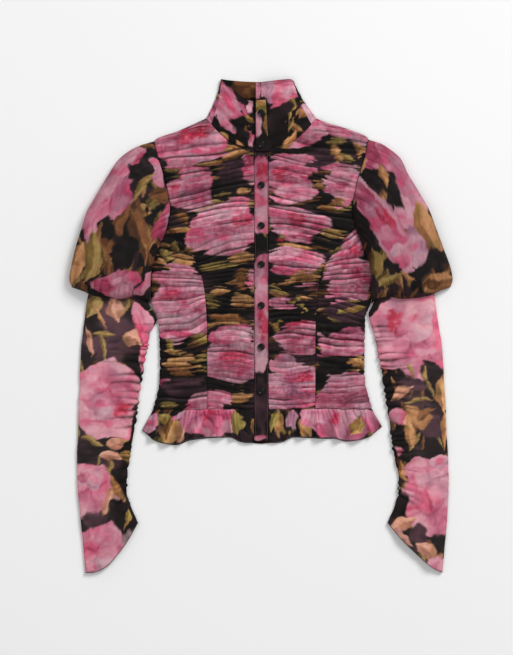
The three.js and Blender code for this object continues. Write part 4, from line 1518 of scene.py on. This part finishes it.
def puff_sleeve(word, sign):
    node = f"puff_{word}"
    seed = 91 + sign
    s = np.linspace(0, 1, PUFF_ROWS)[:, None]
    s = mix(s, 0.5 - 0.5 * np.cos(np.pi * s), 0.55)
    angle = ring_angles(PUFF_UPPER, PUFF_LOWER)
    w = 0.5 - 0.5 * np.cos(angle)
    x, y = puff_plan(s, w)
    z = ring_height(angle, mix(3, 9, np.sin(np.pi * s)), puff_crown(s), 0.75)
    above = np.maximum(0, np.sin(angle)) ** 0.5
    lines = w * PUFF_PLEATS + 0.5 * noise(w * 9, s * 3, seed)
    pleat = np.abs(np.sin(np.pi * lines)) ** 0.7 - 0.6
    strength = 0.5 + 0.6 * scatter(np.floor(lines), seed)
    at_seam = smoothstep(0, 0.05, s) * (1 - smoothstep(0.08, 0.42, s))
    at_bottom = smoothstep(0.66, 0.93, s) * (1 - smoothstep(0.95, 1, s))
    gathered = at_seam + at_bottom
    long_folds = noise(w * 4.2 + 0.8 * s, s * 1.1, seed + 2)
    dents = noise(w * 2.5 + s, s * 2.4, seed + 3)
    fine = noise(w * 16, s * 7, seed + 4)
    free = smoothstep(0, 0.2, s) * (1 - smoothstep(0.85, 1, s))
    wave = PUFF_PLEAT_HEIGHT * gathered * pleat * strength
    wave = (wave + free * (1.7 * long_folds + 1.5 * dents + 0.3 * fine)) * above

    def colours_at(p, q):
        p = p + 3 * noise(w * 7, s * 4, seed + 5)
        q = q + 3 * noise(w * 5, s * 5, seed + 6)
        colours = tube_print(node, angle, (p, q), (p + 9, q + 14))
        colours = mix(colours, np.array(PUFF_HAZE), PUFF_HAZE_SHARE)
        # Painted shade in the grooves of the gathers, and painted light and shade over the long soft folds.
        groove = bell(pleat + 0.6, 0.25) * gathered * above
        return colours * (1 - 0.4 * groove + 0.1 * long_folds * above)[..., None]

    tube_cloth(node, np.stack([sign * x, y, z], 2), wave, colours_at)


SLEEVE_UPPER = 66
SLEEVE_LOWER = 30
SLEEVE_ROWS_PER_FOLD = 13
SLEEVE_ROWS_PLAIN = 18
SLEEVE_EDGE = 2.7
SLEEVE_HEIGHT = 9.4
CUFF_BOW = {"left": 1.0, "right": 0.5} # how much of the table's bow the cuff's edge has
SLEEVE_NUDGE = {"left": 5.5, "right": 0} # how far its inner edge leans to the body under the over-sleeve
NUDGE_Y = 9
NUDGE_REACH = 12
RUCHED_FROM = (2.9, 3.4) # rows of the table between which the ruching starts
RUCHED_TO = (12.2, 13.4) # and ends
RUCHES_PER_FOLD = 1.45
RUCHE_HEIGHT = 4.6
RUCHE_SHADE = 0.6
SLEEVE_HAZE = (156, 132, 138)


def sleeve_middle(word, sign, row, angle, w):
    """Points round the long sleeve, before its folds."""
    columns = read(SLEEVE, row, "out_x", "out_y", "in_x", "in_y", "bow", "lift")
    out_x, out_y, in_x, in_y, bow, lift = columns
    x = mix(out_x, in_x, w)
    y = mix(out_y, in_y, w) - CUFF_BOW[word] * bow * 4 * w * (1 - w)
    y = y + 1.5 * noise(w * 7, 0, 119 + sign) * smoothstep(13.2, 15, row) * np.sin(np.pi * w)
    x = x - SLEEVE_NUDGE[word] * bell(y - NUDGE_Y, NUDGE_REACH) * smoothstep(0.7, 1, w)
    z = lift + ring_height(angle, SLEEVE_EDGE, SLEEVE_HEIGHT, 0.8)
    return np.stack([sign * x, y, z], 2)


def long_sleeve(word, sign):
    node = f"sleeve_{word}"
    seed = 111 + sign
    row, fold = (value[:, None] for value in fold_rows(SLEEVE, SLEEVE_ROWS_PER_FOLD, SLEEVE_ROWS_PLAIN))
    angle = ring_angles(SLEEVE_UPPER, SLEEVE_LOWER)
    w = 0.5 - 0.5 * np.cos(angle)
    middle = sleeve_middle(word, sign, row, angle, w)
    y = middle[..., 1]
    above = smoothstep(-0.3, 0.15, np.sin(angle))
    ruched = smoothstep(*RUCHED_FROM, row) * (1 - smoothstep(*RUCHED_TO, row))
    uneven = 0.55 * noise(w * 2.4, row * 1.3, seed) + 0.8 * noise(0 * w, row * 1.7, seed + 9)
    lines = RUCHES_PER_FOLD * fold + uneven
    number = np.floor(lines)
    within = lines - number
    strength = 0.25 + 0.95 * scatter(number, seed)
    reach = 0.15 + 0.6 * scatter(number, seed + 1)
    fade = smoothstep(reach, 1.02, w)
    crest = np.sin(np.pi * within) ** 0.7
    ruche = RUCHE_HEIGHT * strength * fade * (crest - 0.35) * ruched * above
    flutter = 1.6 * noise(w * 9, 0 * y, seed + 7) * smoothstep(13.6, 15, row)
    soft = flutter + 0.5 * noise(w * 3, y / 26, seed + 2) + 0.35 * noise(w * 8 + y / 40, y / 9, seed + 3)
    across = 0.5 * np.abs(noise(w * 1.5, y / 5, seed + 5)) * ruched
    wave = ruche + (soft + across) * above * smoothstep(0, 0.15, np.sin(angle) + 0.05)

    def colours_at(p, q):
        jag = (1 - smoothstep(0, 0.3, 1 - w)) * 3 * swing(number, seed + 4) * ruched
        colours = tube_print(node, angle, (p + 0.4 * jag, q + jag), (p + 6, q + 17))
        sheer = 0.15 - 0.13 * smoothstep(0.55, 0.9, w)
        colours = mix(colours, np.array(SLEEVE_HAZE), sheer[..., None])
        # Painted shade in the grooves of the ruching.
        groove = bell(within, 0.16) + bell(1 - within, 0.16)
        dark = 1 - RUCHE_SHADE * np.minimum(1, groove * strength) * fade * ruched * above
        return colours * dark[..., None]

    tube_cloth(node, middle, wave, colours_at)


def make_sleeves():
    for word, sign in SIDES:
        puff_sleeve(word, sign)
        long_sleeve(word, sign)


# The buttons

BUTTON_SEGMENTS = 56
# Shares of the radius, and heights, from the middle of the foot round to the middle of the face
BUTTON_PROFILE = [
    (0.0, 0.0),
    (0.7, 0.0),
    (0.86, 0.15),
    (0.97, 0.6),
    (1.0, 1.2),
    (0.99, 1.9),
    (0.94, 2.4),
    (0.86, 2.68),
    (0.78, 2.7),
    (0.71, 2.52),
    (0.64, 2.15),
    (0.54, 1.95),
    (0.38, 1.84),
    (0.2, 1.8),
    (0.0, 1.8),
]


def collar_band_at(y):
    """Height and slope of the middle of the collar's band."""
    station = np.array([[LAST_STATION - 0.43]])

    def point(up):
        return collar_point(station, np.array([[up]]))[0, 0]

    foot_y, top_y = point(0.0)[1], point(1.0)[1]
    up = (y - foot_y) / (top_y - foot_y)
    here, above = point(up), point(up + 0.02)
    return here[2], math.atan2(above[2] - here[2], above[1] - here[1])


def button_faces(rings):
    """Quads between rings of points, and a fan over each end, with the ends' points last."""
    foot = rings * BUTTON_SEGMENTS
    last = foot - BUTTON_SEGMENTS
    faces = []
    for i in range(BUTTON_SEGMENTS):
        j = (i + 1) % BUTTON_SEGMENTS
        for r in range(rings - 1):
            a, b = r * BUTTON_SEGMENTS, (r + 1) * BUTTON_SEGMENTS
            faces.append((a + i, a + j, b + j, b + i))
        faces.append((foot, j, i))
        faces.append((foot + 1, last + i, last + j))
    return faces


def button(number, y, z, tilt):
    turn = np.linspace(0, 2 * np.pi, BUTTON_SEGMENTS, endpoint=False)
    points = []
    for share, height in BUTTON_PROFILE[1:-1]:
        radius = share * BUTTON_RADIUS
        points += [(radius * math.cos(a), radius * math.sin(a), height) for a in turn]
    points += [(0, 0, BUTTON_PROFILE[0][1]), (0, 0, BUTTON_PROFILE[-1][1])]
    px, py, pz = np.array(points).T
    cos, sin = math.cos(tilt), math.sin(tilt)
    turned = np.stack([px, py * cos - pz * sin, py * sin + pz * cos], 1)
    piece = add_mesh(f"button_{number}_disc", turned + [0, y, z], button_faces(len(BUTTON_PROFILE) - 2))
    piece.data.materials.append(BUTTON_LOOK)
    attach(piece, "root")
    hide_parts(f"button_{number}")


def make_buttons():
    for number, y in enumerate(COLLAR_BUTTON_Y, 1):
        z, slope = collar_band_at(y)
        button(number, y, z + COLLAR_WALL / 2 + SEAM_GAP + BAND_ON_COLLAR + 2 * SEAM_GAP, slope)
    for number, y in enumerate(PLACKET_BUTTON_Y, len(COLLAR_BUTTON_Y) + 1):
        button(number, y, PLACKET_Z + PLACKET_WALL + 0.2 + SEAM_GAP, 0)


# Stitching and rolled hems, by geometry nodes along a seam, with their sizes in metres

STITCH = {"Pitch": 0.003, "Length": 0.0021, "Thread": 0.00028}
FLOUNCE_ROLL = {"Radius": 0.0007}
CUFF_ROLL = {"Radius": 0.0006}
STITCHES_FROM_EDGE = 1.6


class PathTree(Tree):
    """A tree that runs along a curve, with a named input for each of its sizes."""

    def __init__(self, name, sizes):
        super().__init__(bpy.data.node_groups.new(name, "GeometryNodeTree"))
        add_socket = self.tree.interface.new_socket
        add_socket("Geometry", in_out="INPUT", socket_type="NodeSocketGeometry")
        for size, value in sizes.items():
            add_socket(size, in_out="INPUT", socket_type="NodeSocketFloat").default_value = value
        add_socket("Geometry", in_out="OUTPUT", socket_type="NodeSocketGeometry")
        self.given = self.node("NodeGroupInput")

    def end(self, form, surface):
        whole = self.node("GeometryNodeRealizeInstances", inputs={"Geometry": form})
        dressed = self.node("GeometryNodeSetMaterial", inputs={"Geometry": whole, "Material": surface})
        self.node("NodeGroupOutput", inputs={"Geometry": dressed})
        return self.tree


def stitch_tree(surface):
    """Short rounded stitches laid end to end along a curve."""
    tree = PathTree("stitches", STITCH)
    curve = tree.given
    spacing = {"Curve": curve, "Length": curve.also("Pitch")}
    spaced = tree.node("GeometryNodeCurveToPoints", {"mode": "LENGTH"}, spacing)
    size = {"Vertices": 6, "Radius": curve.also("Thread"), "Depth": curve.also("Length")}
    stitch = tree.node("GeometryNodeMeshCylinder", inputs=size)
    places = {"Points": spaced, "Rotation": spaced.also("Rotation"), "Instance": stitch}
    return tree.end(tree.node("GeometryNodeInstanceOnPoints", inputs=places), surface)


def roll_tree(surface):
    """A rolled hem: a thin round roll that follows a curve."""
    tree = PathTree("rolled_hem", FLOUNCE_ROLL)
    circle = {"Resolution": 7, "Radius": tree.given.also("Radius")}
    section = tree.node("GeometryNodeCurvePrimitiveCircle", inputs=circle)
    sweep = {"Curve": tree.given, "Profile Curve": section, "Fill Caps": True}
    return tree.end(tree.node("GeometryNodeCurveToMesh", inputs=sweep), surface)


def along_seams(name, lines, tree, sizes):
    """Runs a tree along lines of points in millimetres and keeps the result as one plain mesh."""
    curve = bpy.data.curves.new(name, "CURVE")
    curve.dimensions = "3D"
    for line in lines:
        spline = curve.splines.new("POLY")
        spline.points.add(len(line) - 1)
        flat = np.ones((len(line), 4))
        flat[:, :3] = (np.asarray(line) + SHIFT) * MM
        spline.points.foreach_set("co", flat.ravel())
    source = add_object(f"{name}_path", curve)
    modifier = source.modifiers.new("along", "NODES")
    modifier.node_group = tree
    for item in tree.interface.items_tree:
        if item.in_out == "INPUT" and item.name in sizes:
            modifier[item.identifier] = sizes[item.name]
    ready = source.evaluated_get(bpy.context.evaluated_depsgraph_get())
    mesh = bpy.data.meshes.new_from_object(ready)
    source.modifiers.remove(modifier)
    bpy.data.objects.remove(source)
    mesh.name = name
    mesh.shade_smooth()
    piece = add_object(name, mesh)
    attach(piece, "root")


def mesh_row(name, columns, row):
    """A row of the outer grid of a shell, in millimetres without the shift."""
    vertices = bpy.data.objects[name].data.vertices
    points = np.empty(len(vertices) * 3)
    vertices.foreach_get("co", points)
    return points.reshape(2, -1, columns, 3)[0][row] / MM - SHIFT


def make_stitching():
    y = np.linspace(PLACKET_FOOT_Y + 2, NECK_Y - 1, 160)
    top = PLACKET_Z + PLACKET_WALL + 0.15 + 0 * y
    half = PLACKET_HALF - STITCHES_FROM_EDGE
    lines = [np.stack([sign * half + band_wander(y), y, top], 1) for _, sign in SIDES]
    along_seams("placket_stitching", lines, stitch_tree(ROSE_THREAD), STITCH)
    edge = mesh_row("collar_cloth", COLLAR_COLUMNS, COLLAR_ROWS - 4) + [0, 0, 0.25]
    along_seams("collar_stitching", [edge], stitch_tree(DARK_THREAD), STITCH)


def make_hems():
    tree = roll_tree(DARK_THREAD)
    fronts = [mesh_row(f"flounce_front_{word}_cloth", FLOUNCE_COLUMNS, -1) for word, _ in SIDES]
    along_seams("flounce_hem", [front - [0, 0, 0.5] for front in fronts], tree, FLOUNCE_ROLL)
    rings = []
    for word, _ in SIDES:
        ring = mesh_row(f"sleeve_{word}_cloth", SLEEVE_UPPER + SLEEVE_LOWER, -1)
        ring[:, 2] = np.maximum(ring[:, 2], CUFF_ROLL["Radius"] / MM)
        rings.append(np.concatenate([ring, ring[:1]]) + [0, 0.4, 0])
    along_seams("cuff_hem", rings, tree, CUFF_ROLL)


# The floor, the light and the camera, in metres

CAMERA_HEIGHT = 4.0
SCALE_HEIGHT = 0.01 # height over the floor at which the photo's scale holds
SENSOR = 36.0
FLOOR_Z = -0.0004
FLOOR_HALF = 6.0
PAPER_GREY = (0.86, 0.86, 0.86, 1)
# Name, place, size and power in watts
LIGHTS = (("key", (3.2, 3.8, 3.8), 2.4, 290), ("fill", (-3.2, -1.2, 5.2), 5.0, 76))
ROOM_LIGHT = 0.46


def make_stage():
    mesh = bpy.data.meshes.new("floor")
    corners = [(x * FLOOR_HALF, y * FLOOR_HALF, FLOOR_Z) for x, y in ((-1, -1), (1, -1), (1, 1), (-1, 1))]
    mesh.from_pydata(corners, [], [(0, 1, 2, 3)])
    floor = add_object("floor", mesh)
    look = Look("plain_paper")
    look.set(Base_Color=PAPER_GREY, Roughness=0.9)
    mesh.materials.append(look.material)


def make_light():
    for name, place, size, power in LIGHTS:
        data = bpy.data.lights.new(name, "AREA")
        data.size = size
        data.energy = power
        light = add_object(name, data)
        light.location = place
        x, y, z = place
        light.rotation_euler = (math.atan2(math.hypot(x, y), z), 0, math.atan2(x, -y))
    room = bpy.data.worlds.new("studio")
    bpy.context.scene.world = room
    room.use_nodes = True
    background = room.node_tree.nodes["Background"]
    background.inputs["Color"].default_value = (1, 1, 1, 1)
    background.inputs["Strength"].default_value = ROOM_LIGHT


def make_camera():
    data = bpy.data.cameras.new("camera")
    camera = add_object("camera", data)
    data.sensor_fit = "HORIZONTAL"
    data.sensor_width = SENSOR
    data.lens = SENSOR * CAMERA_HEIGHT / (PHOTO_WIDTH * PIXEL * MM)
    centre_x = (PHOTO_WIDTH / 2 - PHOTO_X0) * PIXEL + SHIFT[0]
    centre_y = (PHOTO_Y0 - PHOTO_HEIGHT / 2) * PIXEL + SHIFT[1]
    camera.location = (centre_x * MM, centre_y * MM, CAMERA_HEIGHT + SCALE_HEIGHT)
    bpy.context.scene.camera = camera


make_camera()
make_stage()
make_light()
make_body()
make_flounce()
make_bands()
funnel_collar()
collar_band()
make_sleeves()
make_buttons()
make_stitching()
make_hems()
bpy.context.scene.view_settings.view_transform = "Standard"
